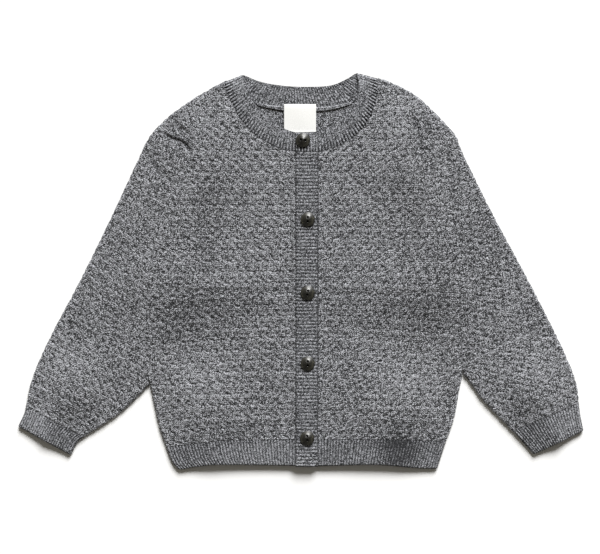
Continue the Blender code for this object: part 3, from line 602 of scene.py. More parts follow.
def basket_shade():
    """The basket stitch at close range: painted shade in the slits and hollows, and painted light on the
    crowns and pads.
    """
    tree, given, result = node_group(
        "basket stitch",
        [("Place", "NodeSocketVector"), ("Wide", "NodeSocketFloat"), ("Tall", "NodeSocketFloat"),
         ("Lean", "NodeSocketFloat"), ("Hollow", "NodeSocketFloat"), ("Height", "NodeSocketFloat")],
        [("Hollow", "NodeSocketFloat"), ("Height", "NodeSocketFloat")])
    place = tree.nodes.new("ShaderNodeSeparateXYZ")
    tree.links.new(given["Place"], place.inputs["Vector"])
    y = maths(tree, "DIVIDE", place.outputs["Y"], given["Tall"])
    row = maths(tree, "ROUND", y)
    x = maths(tree, "ADD", maths(tree, "DIVIDE", place.outputs["X"], given["Wide"]),
              maths(tree, "MULTIPLY", maths(tree, "FLOORED_MODULO", row, 2.0), 0.5))
    half_along = maths(tree, "ADD", x, 0.5)
    at_slit = maths(tree, "SUBTRACT", x, maths(tree, "ROUND", x))
    at_dip = maths(tree, "SUBTRACT", half_along, maths(tree, "ROUND", half_along))
    up = maths(tree, "SUBTRACT", y, row)

    def spot(across, above, wide, tall):
        near = maths(tree, "ADD", maths(tree, "POWER", maths(tree, "DIVIDE", across, wide), 2.0),
                     maths(tree, "POWER", maths(tree, "DIVIDE", above, tall), 2.0))
        return maths(tree, "EXPONENT", maths(tree, "MULTIPLY", near, -1.0))

    slanting = maths(tree, "ADD", up, maths(tree, "MULTIPLY", at_slit, given["Lean"]))
    slit = spot(at_slit, slanting, *SLIT_SPOT)
    dip = spot(at_dip, maths(tree, "SUBTRACT", up, DIP_UP), *DIP_SPOT)
    crown = spot(at_slit, maths(tree, "SUBTRACT", up, CROWN_UP), *CROWN_SPOT)
    pad = spot(at_slit, maths(tree, "ADD", up, PAD_DOWN), *PAD_SPOT)
    swing = tree.nodes.new("ShaderNodeTexNoise")
    tree.links.new(given["Place"], swing.inputs["Vector"])
    swing.inputs["Scale"].default_value = 90
    dark = maths(tree, "MULTIPLY", slit, SLIT_DARK)
    dark = maths(tree, "ADD", dark, maths(tree, "MULTIPLY", dip, DIP_DARK))
    dark = maths(tree, "SUBTRACT", dark, maths(tree, "MULTIPLY", crown, CROWN_PALE))
    dark = maths(tree, "SUBTRACT", dark, maths(tree, "MULTIPLY", pad, PAD_PALE))
    dark = maths(tree, "MULTIPLY", dark, maths(tree, "ADD", swing.outputs["Fac"], 0.5))
    tree.links.new(maths(tree, "ADD", dark, given["Hollow"]), result["Hollow"])
    tree.links.new(maths(tree, "SUBTRACT", given["Height"], slit), result["Height"])
    return tree


melange_yarn = melange()
knitted_loops = loops()
basket_stitch = basket_shade()


def knit_finish(name, dark, pale, contrast, wide, tall, strength, lean=None):
    """The finish of a knitted piece: mixed yarn, loops of the given size, and a dry woolly surface."""
    finish = bpy.data.materials.new(name)
    finish.use_nodes = True
    tree = finish.node_tree
    shader = tree.nodes["Principled BSDF"]
    shader.inputs["Roughness"].default_value = 0.92
    shader.inputs["Specular IOR Level"].default_value = 0.25
    shader.inputs["Sheen Weight"].default_value = 0.15
    shader.inputs["Sheen Roughness"].default_value = 0.6
    place = tree.nodes.new("ShaderNodeTexCoord")
    yarn = tree.nodes.new("ShaderNodeGroup")
    yarn.node_tree = melange_yarn
    yarn.inputs["Dark"].default_value = (*dark, 1)
    yarn.inputs["Pale"].default_value = (*pale, 1)
    yarn.inputs["Flecks"].default_value = 1800
    yarn.inputs["Contrast"].default_value = contrast
    tree.links.new(place.outputs["Object"], yarn.inputs["Place"])
    # The mesh's marks of painted shade and painted light, read into the yarn's colour.
    hollow_shade = tree.nodes.new("ShaderNodeAttribute")
    hollow_shade.attribute_name = "hollow_shade"
    tree.links.new(yarn.outputs["Color"], shader.inputs["Base Color"])
    rows = tree.nodes.new("ShaderNodeUVMap")
    rows.uv_map = "stitches"
    knit = tree.nodes.new("ShaderNodeGroup")
    knit.node_tree = knitted_loops
    knit.inputs["Wide"].default_value = wide
    knit.inputs["Tall"].default_value = tall
    tree.links.new(rows.outputs["UV"], knit.inputs["Place"])
    bump = tree.nodes.new("ShaderNodeBump")
    bump.inputs["Strength"].default_value = strength
    bump.inputs["Distance"].default_value = 0.0008
    # the loops' height also paints light on the strands and shade between them
    tree.links.new(knit.outputs["Height"], yarn.inputs["Loop"])
    if lean is None:
        tree.links.new(hollow_shade.outputs["Fac"], yarn.inputs["Hollow"])
        tree.links.new(knit.outputs["Height"], bump.inputs["Height"])
    else:
        stitch = tree.nodes.new("ShaderNodeGroup")
        stitch.node_tree = basket_stitch
        stitch.inputs["Wide"].default_value = BASKET_WIDE
        stitch.inputs["Tall"].default_value = BASKET_TALL
        stitch.inputs["Lean"].default_value = lean
        tree.links.new(rows.outputs["UV"], stitch.inputs["Place"])
        tree.links.new(hollow_shade.outputs["Fac"], stitch.inputs["Hollow"])
        tree.links.new(knit.outputs["Height"], stitch.inputs["Height"])
        tree.links.new(stitch.outputs["Hollow"], yarn.inputs["Hollow"])
        tree.links.new(stitch.outputs["Height"], bump.inputs["Height"])
    tree.links.new(bump.outputs["Normal"], shader.inputs["Normal"])
    return finish


DARK_GREY, PALE_GREY = (0.014, 0.015, 0.018), (0.545, 0.556, 0.594)
BASKET_CONTRAST, BASKET_BUMP = 3.5, 0.8
basket_knit = {}
for hand, lean in SLIT_LEAN.items():
    basket_knit[hand] = knit_finish("basket_knit_" + hand, DARK_GREY, PALE_GREY, BASKET_CONTRAST,
                                    STITCH_WIDE, STITCH_TALL, BASKET_BUMP, lean)


def sew_on(piece, finish, slot, node, *nodes):
    """Gives a piece its finish, hangs it from the root, and hides the nodes of the frame that it stands for.
    """
    piece.data.materials.append(finish)
    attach(piece, "root")
    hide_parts(node, *nodes)


ROWS_SINK = 0.0050                  # how far the rows sink towards the sides, half way down the body
ROWS_SINK_Y, ROWS_SINK_REACH = -0.055, 0.045
HEM_SINKS = {RIGHT: 0.0060, LEFT: 0.0020}
HEM_SINK_Y, HEM_SINK_REACH = -0.095, 0.035
HALF_BODY = 0.108                   # from the middle to where the rows sink by the full amount


def sunk(plan):
    """Place of the rows: they sink towards the sides, and follow the hem below."""
    x, y = plan[..., 0], plan[..., 1]
    middle = ROWS_SINK * np.exp(-((y - ROWS_SINK_Y) / ROWS_SINK_REACH) ** 2)
    low = np.where(x < 0, HEM_SINKS[RIGHT], HEM_SINKS[LEFT]) * ease((HEM_SINK_Y - y) / HEM_SINK_REACH)
    return np.stack([x, y + (x / HALF_BODY) ** 2 * (middle + low)], axis=-1)


def resting(relief, normal):
    """The relief where a piece lies on the table, with its crests at the table."""
    return relief - relief.max() * np.clip(-3 * normal[..., 2], 0, 1)


def armhole_line(armhole, shoulder):
    """The armhole, begun exactly on the shoulder's fold."""
    return drawn([part_of(shoulder, armhole[0], shoulder[-1])[0], *armhole[1:]])


armhole_right = armhole_line(ARMHOLE_RIGHT, SHOULDER_RIGHT)
armhole_left = armhole_line(ARMHOLE_LEFT, SHOULDER_LEFT)
hem_line_back = drawn(HEM_LINE_RIGHT + HEM_LINE_LEFT[::-1])
back_plan, back_edges = patch(
    edge((part_of(SHOULDER_RIGHT, ARMHOLE_RIGHT[0], NECK_SEWN_BACK[0]), "fold"),
         (drawn(NECK_SEWN_BACK), "seam"),
         (part_of(SHOULDER_LEFT, NECK_SEWN_BACK[-1], ARMHOLE_LEFT[0]), "fold")),
    edge((hem_line_back, "seam")),
    edge((armhole_right, "seam"), (part_of(SIDE_RIGHT, SIDE_RIGHT[0], HEM_LINE_RIGHT[0]), "fold")),
    edge((armhole_left, "seam"), (part_of(SIDE_LEFT, SIDE_LEFT[0], HEM_LINE_LEFT[0]), "fold")),
    BACK_GRID)
BODY_FOLDS = [drawn(line) for line in (SHOULDER_RIGHT, SIDE_RIGHT, SHOULDER_LEFT, SIDE_LEFT)]
back_rows = sunk(back_plan)
back_relief = basket(back_rows[..., 0], back_rows[..., 1], RIGHT)
NECK_SHOWS = 0.045                  # how far down the wrong side shows inside the neck
shows = np.abs(back_plan[5, :, 0] - MID_X) < NECK_SHOWS
back_panel = shell(
    "knit_back_panel", *lay(back_plan, BACK, BODY_FOLDS, seamed=True),
    np.minimum(back_relief, 0) + groove(back_edges[3]) + groove(back_edges[2]),
    -0.7 * back_relief - 0.0005, back_rows,
    np.append(np.arange(0, 28), np.arange(28, len(back_plan), 6)),
    np.append(np.flatnonzero(shows), np.arange(0, back_plan.shape[1], 6)))
sew_on(back_panel, basket_knit[RIGHT], "knit", "back_panel")


# ---- Fronts ----
# Two fronts in the same basket stitch, each one piece from the shoulder to the hem. The right one,
# with the buttonholes, climbs onto the left one's button band; both puff up a little off the back.
NECK_SEWN_RIGHT = (                 # shoulder down to the buttonhole band
    (-0.0614, 0.1520), (-0.0592, 0.1430), (-0.0550, 0.1348), (-0.0478, 0.1212), (-0.0374, 0.1100),
    (-0.0246, 0.1016), (-0.0118, 0.0968), (BAND_IN_X, 0.0957),
)
NECK_SEWN_LEFT = (
    (0.0614, 0.1550), (0.0606, 0.1380), (0.0554, 0.1236), (0.0462, 0.1108), (0.0322, 0.1012),
    (0.0210, 0.0970), (BAND_OUT_X, 0.0957),
)
FRONT_GRID = 0.00072


def work_front(name, shoulder, armhole, side, neck, hem_line, over, creases):
    """One front, closed at its seams and puffed up off the back."""
    plan, edges = patch(
        edge((part_of(shoulder, armhole[0], neck[0]), "fold"), (drawn(neck), "seam")),
        edge((drawn(hem_line), "seam")),
        edge((armhole_line(armhole, shoulder), "seam"), (part_of(side, side[0], hem_line[0]), "fold")),
        edge((np.array([neck[-1], hem_line[-1]], float), "seam")),
        FRONT_GRID)
    middle, normal = lay(plan, FRONT, [drawn(shoulder), drawn(side)], seamed=True, over=over)
    rows = sunk(plan)
    hand = RIGHT if over else LEFT
    relief = towards_fold(basket(rows[..., 0], rows[..., 1], hand), normal) + creased(plan, creases)
    relief += towards_fold(groove(edges[0]) + groove(edges[1]) + groove(edges[3]), normal, 0)
    piece = shell("knit_" + name, middle, normal, relief, np.zeros_like(relief), rows)
    sew_on(piece, basket_knit[hand], "knit", name)


WAIST_CREASE_RIGHT = ((-0.1220, -0.0130), (-0.0900, -0.0150), (-0.0550, -0.0165), (-0.0060, -0.0160))
WAIST_CREASE_LEFT = ((0.0150, -0.0165), (0.0600, -0.0190), (0.0900, -0.0180), (0.1250, -0.0150))
work_front("front_right", SHOULDER_RIGHT, ARMHOLE_RIGHT, SIDE_RIGHT, NECK_SEWN_RIGHT, HEM_LINE_RIGHT, True,
           [(WAIST_CREASE_RIGHT, 0.0026, 0.0005)])
work_front("front_left", SHOULDER_LEFT, ARMHOLE_LEFT, SIDE_LEFT, NECK_SEWN_LEFT, HEM_LINE_LEFT, False,
           [(WAIST_CREASE_LEFT, 0.0026, 0.0005)])


# ---- Hem ----
# A ribbed welt knitted on below the back and each front: narrow ribs running down, drawn in a
# little, with a soft rounded lower edge that lifts off the table.
HEM_EDGE_RIGHT = ((-0.0974, -0.1588), (-0.0820, -0.1560), (-0.0614, -0.1545), (BAND_IN_X, -0.1553))
HEM_EDGE_LEFT = ((0.1090, -0.1578), (0.0914, -0.1572), (0.0602, -0.1546), (BAND_OUT_X, -0.1556))
HEM_RIB = 0.00222
RIB_DEEP = 0.0009
RIB_GRID = 0.00070                  # spacing of the mesh along the ribs
LINES_PER_RIB = 4
# The ribs' pale fibre is painted darker than the body's, as painted shade of the ribbing.
RIB_PALE = (0.483, 0.493, 0.528)
RIB_CONTRAST, RIB_LOOP, RIB_BUMP = 1.65, 0.0014, 0.5
LIP = 0.0012                        # how far a free edge rounds over
rib_knit = knit_finish("rib_knit", DARK_GREY, RIB_PALE, RIB_CONTRAST, HEM_RIB / 2, RIB_LOOP, RIB_BUMP)


def ribs(place, roundness=0.6):
    """Relief across ribs that are counted by place: round ridges with narrow valleys."""
    return RIB_DEEP * (np.abs(np.cos(math.pi * place)) ** roundness - 0.78)


def rib_count(width, pitch):
    """Whole ribs between the crowded lines at both edges."""
    return int(round((width - 2 * CROWD[-1]) / pitch))


def rib_place(distance, width, count):
    """Which rib each point lies on, from its distance to the edge where they are counted from."""
    return (distance - CROWD[-1]) / (width - 2 * CROWD[-1]) * count


def work_hem(name, line, lip, fold_start, fold_end, side, folds, over):
    """One stretch of the hem's ribbing."""
    line, lip = drawn(line), drawn(lip)
    count = rib_count(length(lip), HEM_RIB)
    plan, edges = patch(edge((line, "seam")), edge((lip, "seam")), fold_start, fold_end, RIB_GRID,
                        1 + LINES_PER_RIB * count)
    middle, normal = lay(plan, side, folds, seamed=True, over=over)
    place = rib_place(edges[0], edges[0] + edges[1], count)
    relief = resting(towards_fold(ribs(place), normal), normal)
    relief += groove(edges[2]) + groove(edges[3], LIP)
    piece = shell("knit_" + name, middle, normal, relief, np.zeros_like(relief), plan, hollow_shade=RIB_HOLLOW)
    sew_on(piece, rib_knit, "rib", name)
    return piece


centre_right = edge((np.array([HEM_LINE_RIGHT[-1], HEM_EDGE_RIGHT[-1]], float), "seam"))
centre_left = edge((np.array([HEM_LINE_LEFT[-1], HEM_EDGE_LEFT[-1]], float), "seam"))
side_right = edge((part_of(SIDE_RIGHT, HEM_LINE_RIGHT[0], HEM_EDGE_RIGHT[0]), "fold"))
side_left = edge((part_of(SIDE_LEFT, HEM_LINE_LEFT[0], HEM_EDGE_LEFT[0]), "fold"))
hem = work_hem("hem_back", HEM_LINE_RIGHT + HEM_LINE_LEFT[::-1], HEM_EDGE_RIGHT + HEM_EDGE_LEFT[::-1],
               side_right, side_left, BACK, BODY_FOLDS, False)
hem = work_hem("hem_front_right", HEM_LINE_RIGHT, HEM_EDGE_RIGHT, side_right, centre_right, FRONT,
               BODY_FOLDS[:2], True)
hem = work_hem("hem_front_left", HEM_LINE_LEFT, HEM_EDGE_LEFT, side_left, centre_left, FRONT,
               BODY_FOLDS[2:], False)


# ---- Sleeves ----
# Each sleeve is one piece of basket stitch, wider at its head, folded flat along its outer edge and
# joined along the underarm. Its rows run across the arm, so they slant with it.
UNDERARM_RIGHT = (                  # armpit, underside of the sleeve, corner of the cuff
    (-0.1206, -0.0905), (-0.1454, -0.1140), (-0.1730, -0.1322), (-0.1788, -0.1370), (-0.1838, -0.1468),
)
UNDERARM_LEFT = (
    (0.1295, -0.0815), (0.1378, -0.0924), (0.1466, -0.1044), (0.1690, -0.1276), (0.1802, -0.1396),
    (0.1862, -0.1464),
)
CUFF_LINE_RIGHT = ((-0.2196, -0.1076), (-0.1730, -0.1322))
CUFF_LINE_LEFT = ((0.2223, -0.1052), (0.1690, -0.1276))
SLEEVE_GRID = 0.00072
UNDER_COLUMNS, UPPER_COLUMNS = 44, 120              # of the mesh, across the side on the table and the top
SLEEVE_START = 0.0008               # share of the outer edge left clear at the shoulder


def folded_tube(outer, inner, first, last, count, under_count, upper_count):
    """Plan of a flattened tube from rungs between its two edges: across the back, round and over the front.

    Also each point's layer, distance from the inner edge, and distance from the two ends."""
    shares = first + (last - first) * steps(np.array([length(outer)]), count)[0]
    a, b = along(outer, shares), along(inner, shares)
    width = np.linalg.norm(a[:, :2] - b[:, :2], axis=1)
    halves, from_inner = [], []
    for columns in (under_count, upper_count):
        u = steps(width, columns)[..., None]
        plan = (1 - u) * a[:, None, :2] + u * b[:, None, :2]
        for line, distance in ((a, u[..., 0] * width[:, None]), (b, (1 - u[..., 0]) * width[:, None])):
            push = line[:, None, 4:5] * np.clip(1 - distance / EASE_IN, 0, 1)[..., None]
            plan += line[:, None, 2:4] * push
        halves.append(plan)
        from_inner.append((1 - u[..., 0]) * width[:, None])
    under, upper = halves
    plan = np.concatenate([under[:, :0:-1], upper], axis=1)
    layer = np.concatenate([np.full(under.shape[1] - 1, BACK), np.full(upper.shape[1], FRONT)])
    distance = np.concatenate([from_inner[0][:, :0:-1], from_inner[1]], axis=1)
    run = np.broadcast_to(shares[:, None] * length(outer), distance.shape)
    layer = np.broadcast_to(layer, distance.shape)
    return plan, layer, distance, run - run[0], run[-1] - run, under.shape[1] - 1


def around(middle, fold_column):
    """Distance round the piece from its fold, less than nothing on the back."""
    step = np.linalg.norm(np.diff(middle, axis=1), axis=2)
    total = np.concatenate([np.zeros((len(step), 1)), np.cumsum(step, axis=1)], axis=1)
    return total - total[:, fold_column][:, None]


def work_sleeve(hand, shoulder, underarm, armhole, cuff_line, creases):
    """One sleeve, from the armhole to the cuff."""
    outer = edge((part_of(shoulder, armhole[0], cuff_line[0]), "fold"))
    inner = edge((armhole_line(armhole, shoulder), "seam"),
                 (part_of(underarm, underarm[0], cuff_line[-1]), "fold"))
    heart = (np.array(cuff_line[0]) + armhole[6]) / 2
    rows = int(length(outer) / SLEEVE_GRID)
    plan, layer, from_inner, from_top, from_cuff, fold_column = folded_tube(
        facing(outer, heart), facing(inner, heart), SLEEVE_START, 1, rows, UNDER_COLUMNS, UPPER_COLUMNS)
    middle, normal = lay(plan, layer, [drawn(shoulder), drawn(underarm)], seamed=False)
    s, t = around(middle, fold_column), -from_top
    on_top = layer == FRONT
    relief = resting(towards_fold(basket(s, t, hand), normal), normal) + creased(plan, creases) * on_top
    relief += towards_fold(groove(from_inner) * on_top + groove(from_cuff), normal, 0)
    uv = np.stack(np.broadcast_arrays(s, t), axis=-1)
    piece = shell("knit_sleeve_" + hand, middle, normal, relief, np.zeros_like(relief), uv)
    sew_on(piece, basket_knit[hand], "knit", "sleeve_" + hand)
    return piece


CREASES_RIGHT = (                   # gathers at the head, then softer folds down the arm
    (((-0.1086, 0.1100), (-0.1030, 0.1058), (-0.0966, 0.1040), (-0.0902, 0.0988), (-0.0884, 0.0945)),
     0.0012, 0.0026),
    (((-0.0990, 0.1160), (-0.0942, 0.1128), (-0.0890, 0.1105)), 0.0022, 0.0024),
    (((-0.1240, 0.0900), (-0.1160, 0.0840), (-0.1060, 0.0740)), 0.0035, 0.0008),
)
CREASES_LEFT = (
    (((0.0905, 0.1200), (0.0930, 0.1080), (0.0950, 0.0940)), 0.0026, 0.0022),
    (((0.1000, 0.1180), (0.1040, 0.1060)), 0.0030, 0.0008),
    (((0.1350, -0.0620), (0.1560, -0.0560), (0.1760, -0.0470)), 0.0030, 0.0005),
)
sleeve = work_sleeve(RIGHT, SHOULDER_RIGHT, UNDERARM_RIGHT, ARMHOLE_RIGHT, CUFF_LINE_RIGHT, CREASES_RIGHT)
sleeve = work_sleeve(LEFT, SHOULDER_LEFT, UNDERARM_LEFT, ARMHOLE_LEFT, CUFF_LINE_LEFT, CREASES_LEFT)


# ---- Cuffs ----
# A narrow ribbed cuff below each sleeve, a closed tube drawn in to the wrist, its lip rounded and
# standing open a little.
CUFF_LIP_RIGHT = ((-0.2260, -0.1239), (-0.1838, -0.1468))
CUFF_LIP_LEFT = ((0.2260, -0.1276), (0.1862, -0.1464))
CUFF_RIBS, CUFF_ROWS = 23, 28


def work_cuff(name, shoulder, underarm, line, lip):
    """One ribbed cuff."""
    outer = edge((part_of(shoulder, line[0], lip[0]), "fold"))
    inner = edge((part_of(underarm, line[-1], lip[-1]), "fold"))
    heart = (np.array(line[0]) + lip[-1]) / 2
    columns = 1 + LINES_PER_RIB * CUFF_RIBS
    plan, layer, from_inner, from_top, from_lip, fold_column = folded_tube(
        facing(outer, heart), facing(inner, heart), 0, 1, CUFF_ROWS, columns, columns)
    middle, normal = lay(plan, layer, [drawn(shoulder), drawn(underarm)])
    s = around(middle, fold_column)
    place = rib_place(from_inner, from_inner.max(axis=1)[:, None], CUFF_RIBS)
    relief = resting(towards_fold(ribs(place), normal), normal)
    relief += towards_fold(groove(from_top), normal, 0) + groove(from_lip, LIP)
    uv = np.stack(np.broadcast_arrays(s, -from_top), axis=-1)
    piece = shell("knit_" + name, middle, normal, relief, np.zeros_like(relief), uv, hollow_shade=RIB_HOLLOW)
    sew_on(piece, rib_knit, "rib", name)


work_cuff("cuff_right", SHOULDER_RIGHT, UNDERARM_RIGHT, CUFF_LINE_RIGHT, CUFF_LIP_RIGHT)
work_cuff("cuff_left", SHOULDER_LEFT, UNDERARM_LEFT, CUFF_LINE_LEFT, CUFF_LIP_LEFT)


# ---- Neckband ----
# One ribbed strip sewn round the neck, its ribs running from the seam to the free edge. It turns
# over at both neck peaks, and its two ends lie over each other under the top button.
NECK_FREE_RIGHT = (                 # free edge: neck's peak down to the middle
    (-0.0465, 0.1574), (-0.0438, 0.1492), (-0.0401, 0.1396), (-0.0302, 0.1268), (-0.0142, 0.1148),
    (BAND_IN_X, 0.1110),
)
NECK_FREE_LEFT = (
    (0.0446, 0.1588), (0.0458, 0.1452), (0.0418, 0.1330), (0.0278, 0.1192), (BAND_OUT_X, 0.1116),
)
NECK_FREE_BACK = (
    (-0.0465, 0.1574), (-0.0318, 0.1516), (-0.0134, 0.1484), (0.0048, 0.1476), (0.0234, 0.1486),
    (0.0354, 0.1532), (0.0446, 0.1588),
)
BAND_TOP_Y = 0.0957
UNDER_EDGE_X = -0.0010              # free edge of the button band, hidden underneath
NECK_RIB = 0.0023
NECK_ROWS = 24
NECK_FADE = 0.0050
NECK_LIP = 0.0010                   # how far its free edge and its ends round over
AT_BANDS = 0.2                      # share of a seam's groove that is left where neckband and bands meet
NECK_CONTRAST = 1.8
NECK_PALE = (0.545, 0.557, 0.597)


def rungs(sewn, free, turn_start, turn_end):
    """Pairs of sewn and free points along a stretch of the neckband, brought in where it turns over.

    With them goes the rib on which each pair lies."""
    sewn, free = drawn(sewn), drawn(free)
    reach = (length(sewn) + length(free)) / 2
    count = rib_count(reach, NECK_RIB)
    shares = steps(np.array([reach]), 1 + LINES_PER_RIB * count)[0]
    a, b = along(sewn, shares), along(free, shares)
    for turned, end, far in ((turn_start, 0, 1), (turn_end, -1, -2)):
        if not turned:
            continue
        fold = (free[end] - sewn[end]) / np.linalg.norm(free[end] - sewn[end])
        distance = (shares if end == 0 else 1 - shares) * reach
        push = np.clip(1 - distance / EASE_IN, 0, 1)[:, None]
        for points, line in ((a, sewn), (b, free)):
            way = (line[far * 12 if end == 0 else -13] - line[end])
            way /= np.linalg.norm(way)
            slant = abs(fold[0] * way[1] - fold[1] * way[0])
            points += way * WALL / 2 / slant * push
    return a, b, rib_place(shares * reach, reach, count)


def across_bands(from_x, to_x):
    """Pairs of sewn and free points, and their ribs, where the neckband's ends pass over the bands."""
    wide = abs(to_x - from_x)
    lines = int(round(wide / NECK_RIB * LINES_PER_RIB))
    x = np.linspace(from_x, to_x, lines + 1)[1:]
    free_y = np.interp(x, [BAND_IN_X, BAND_OUT_X], [NECK_FREE_RIGHT[-1][1], NECK_FREE_LEFT[-1][1]])
    place = CROWD[-1] / NECK_RIB + np.arange(1, lines + 1) / LINES_PER_RIB
    return np.stack([x, np.full_like(x, BAND_TOP_Y)], axis=1), np.stack([x, free_y], axis=1), place


def joined(*pairs):
    return [np.concatenate(part) for part in zip(*pairs)]


over = joined(rungs(NECK_SEWN_RIGHT, NECK_FREE_RIGHT, True, False), across_bands(BAND_IN_X, BAND_OUT_X))
behind = rungs(NECK_SEWN_BACK, NECK_FREE_BACK, True, True)
beneath = joined(rungs(NECK_SEWN_LEFT, NECK_FREE_LEFT, True, False),
                 across_bands(BAND_OUT_X, UNDER_EDGE_X))
neck_middle, neck_normal, neck_place = [], [], []
neck_parts = ((over, FRONT, True, True), (behind, BACK, False, False), (beneath, FRONT, False, False))
for (sewn, free, place), side, climbs, back_to_front in neck_parts:
    height = np.linalg.norm(free - sewn, axis=1)
    u = steps(height, NECK_ROWS)[..., None]
    u = (LINK / 2 / height)[:, None, None] * (1 - u) + u
    plan = (1 - u) * sewn[:, None] + u * free[:, None]
    if back_to_front:
        plan, place = plan[::-1], place[::-1]
    elif side == FRONT:
        plan, place = plan[1:], place[1:]
    middle, normal = lay(plan, side, BODY_FOLDS[::2], over=climbs)
    neck_middle.append(middle[:-1] if back_to_front else middle)
    neck_normal.append(normal[:-1] if back_to_front else normal)
    neck_place.append(place[:-1] if back_to_front else place)
neck_middle, neck_normal = np.concatenate(neck_middle), np.concatenate(neck_normal)
centre = neck_middle[:, neck_middle.shape[1] // 2]
run = np.concatenate([[0], np.cumsum(np.linalg.norm(np.diff(centre, axis=0), axis=1))])[:, None]
rise = np.linalg.norm(neck_middle - neck_middle[:, :1], axis=2)
fading = 0.4 + 2.0 * np.exp(-(rise / NECK_FADE) ** 2)       # the ribs are deepest where they are sewn on
neck_ribs = ribs(np.concatenate(neck_place)[:, None], 0.9)
neck_relief = resting(towards_fold(neck_ribs * fading, neck_normal, 0.1), neck_normal)
from_sewn, from_free = rise, rise[:, -1:] - rise
from_end = np.minimum(run, run[-1] - run)
crossing = np.abs(neck_middle[..., 0] - MID_X) < (BAND_OUT_X - BAND_IN_X) / 2     # over the button bands
seam_groove = towards_fold(groove(from_sewn), neck_normal, 0) * np.where(crossing, AT_BANDS, 1)
neck_relief += seam_groove + groove(from_free, NECK_LIP) + groove(from_end, NECK_LIP)
neck_inside = np.broadcast_to(0.7 * neck_ribs, rise.shape)
neckband = shell("knit_neckband", neck_middle, neck_normal, neck_relief, neck_inside,
                 np.stack(np.broadcast_arrays(run, rise), axis=-1),
                 np.arange(len(run)), np.arange(rise.shape[1]), RIB_HOLLOW)
neck_knit = knit_finish("neck_knit", DARK_GREY, NECK_PALE, NECK_CONTRAST, NECK_RIB / 2, RIB_LOOP, RIB_BUMP)
sew_on(neckband, neck_knit, "rib", "neckband")


# ---- Button bands ----
# Two bands knitted sideways down the fronts, so their ribs lie across. The buttonhole band of the
# right front lies over the button band of the left one, which hardly shows.
BAND_BOTTOM_Y = -0.1560
BAND_CORNER = 0.0050
BAND_RIB = 0.0027
BAND_GRID, UNDER_BAND_GRID = 0.00052, 0.0011
BAND_RIB_SHARE = 0.72               # height of their ribs as a share of the hem's


def work_band(name, left_x, right_x, grid, over):
    """A band with ribs across it, the bottom corner of its free edge rounded."""
    tall = BAND_TOP_Y - LINK / 2 - BAND_BOTTOM_Y
    count = rib_count(tall, BAND_RIB)
    down = steps(np.array([tall]), 1 + LINES_PER_RIB * count)[0] * tall
    past = np.maximum(0, down - tall + BAND_CORNER)
    bite = BAND_CORNER - np.sqrt(np.maximum(0, BAND_CORNER ** 2 - past ** 2))
    bite = np.minimum(bite, 0.9 * BAND_CORNER)
    start = left_x + (0 if over else 1) * bite
    end = right_x - (1 if over else 0) * bite
    u = steps(end - start, int((right_x - left_x) / grid / 1.3))
    x = start[:, None] + u * (end - start)[:, None]
    y = np.broadcast_to(BAND_TOP_Y - LINK / 2 - down[:, None], x.shape)
    plan = np.stack([x, y], axis=-1)
    free = u if over else 1 - u
    from_free = (1 - free) * (end - start)[:, None]
    from_sewn = free * (end - start)[:, None]
    relief = BAND_RIB_SHARE * ribs(rib_place(down, tall, count))[:, None] + (
        groove(from_free, LIP) + groove(from_sewn))
    relief += AT_BANDS * groove(down[:, None]) + groove(tall - down[:, None], LIP)
    middle, normal = lay(plan, FRONT, BODY_FOLDS[1::2], over=over)
    piece = shell("knit_" + name, middle, normal, relief, np.zeros_like(relief), np.stack([y, x], axis=-1),
                  hollow_shade=RIB_HOLLOW)
    sew_on(piece, band_knit, "rib", name)


BAND_PALE, BAND_CONTRAST = (0.550, 0.562, 0.601), 1.4
band_knit = knit_finish("band_knit", DARK_GREY, BAND_PALE, BAND_CONTRAST, BAND_RIB / 2, RIB_LOOP, RIB_BUMP)
work_band("button_band", UNDER_EDGE_X, BAND_OUT_X - LINK / 2, UNDER_BAND_GRID, False)
work_band("buttonhole_band", BAND_IN_X + LINK / 2, BAND_OUT_X, BAND_GRID, True)


# ---- Linked seam inside the neck ----
# Where the neckband is linked to the back, its stitches stand up inside as a soft double ridge.
# It is the neckband's own yarn, and thins towards both its ends.
RIDGE = 0.0011
RIDGE_FROM, RIDGE_TO = -0.0350, 0.0412
RIDGE_LOOP = 0.0019                 # from one stitch of the ridge to the next
seam_line = drawn(NECK_SEWN_BACK)
seam_line = seam_line[(seam_line[:, 0] > RIDGE_FROM) & (seam_line[:, 0] < RIDGE_TO)]
seam_way = np.gradient(seam_line, axis=0)
seam_way /= np.linalg.norm(seam_way, axis=1)[:, None]
seam_side = np.stack([-seam_way[:, 1], seam_way[:, 0]], axis=-1)
seam_run = np.concatenate([[0], np.cumsum(np.linalg.norm(np.diff(seam_line, axis=0), axis=1))])
thin = 0.35 + 0.65 * np.sqrt(np.maximum(0, np.sin(math.pi * seam_run / seam_run[-1])))
ring = np.linspace(0, 2 * math.pi, 20, endpoint=False)
lump = 1 + 0.12 * np.cos(2 * math.pi * seam_run / RIDGE_LOOP)
two = 0.70 + 0.30 * np.abs(np.cos(ring)) ** 0.6
radius = RIDGE * (thin * lump)[:, None] * two
across = radius * np.cos(ring) * 1.5
tall = 0.5 * radius * np.sin(ring) + (WALL + SEAM + 0.55 * RIDGE * thin)[:, None]
ridge_x = seam_line[:, :1] + seam_side[:, :1] * across
ridge_y = seam_line[:, 1:] + seam_side[:, 1:] * across
points = np.dstack([ridge_x, ridge_y, tall])
number = np.arange(points[..., 0].size).reshape(points.shape[:2])
turned = np.roll(number, -1, axis=1)
faces = np.stack([number[:-1], number[1:], turned[1:], turned[:-1]], axis=-1).reshape(-1, 4)[:, ::-1].tolist()
faces += [number[0].tolist()[::-1], number[-1].tolist()]
places = np.stack(np.broadcast_arrays(seam_run[:, None], RIDGE * ring), axis=-1).reshape(-1, 2)
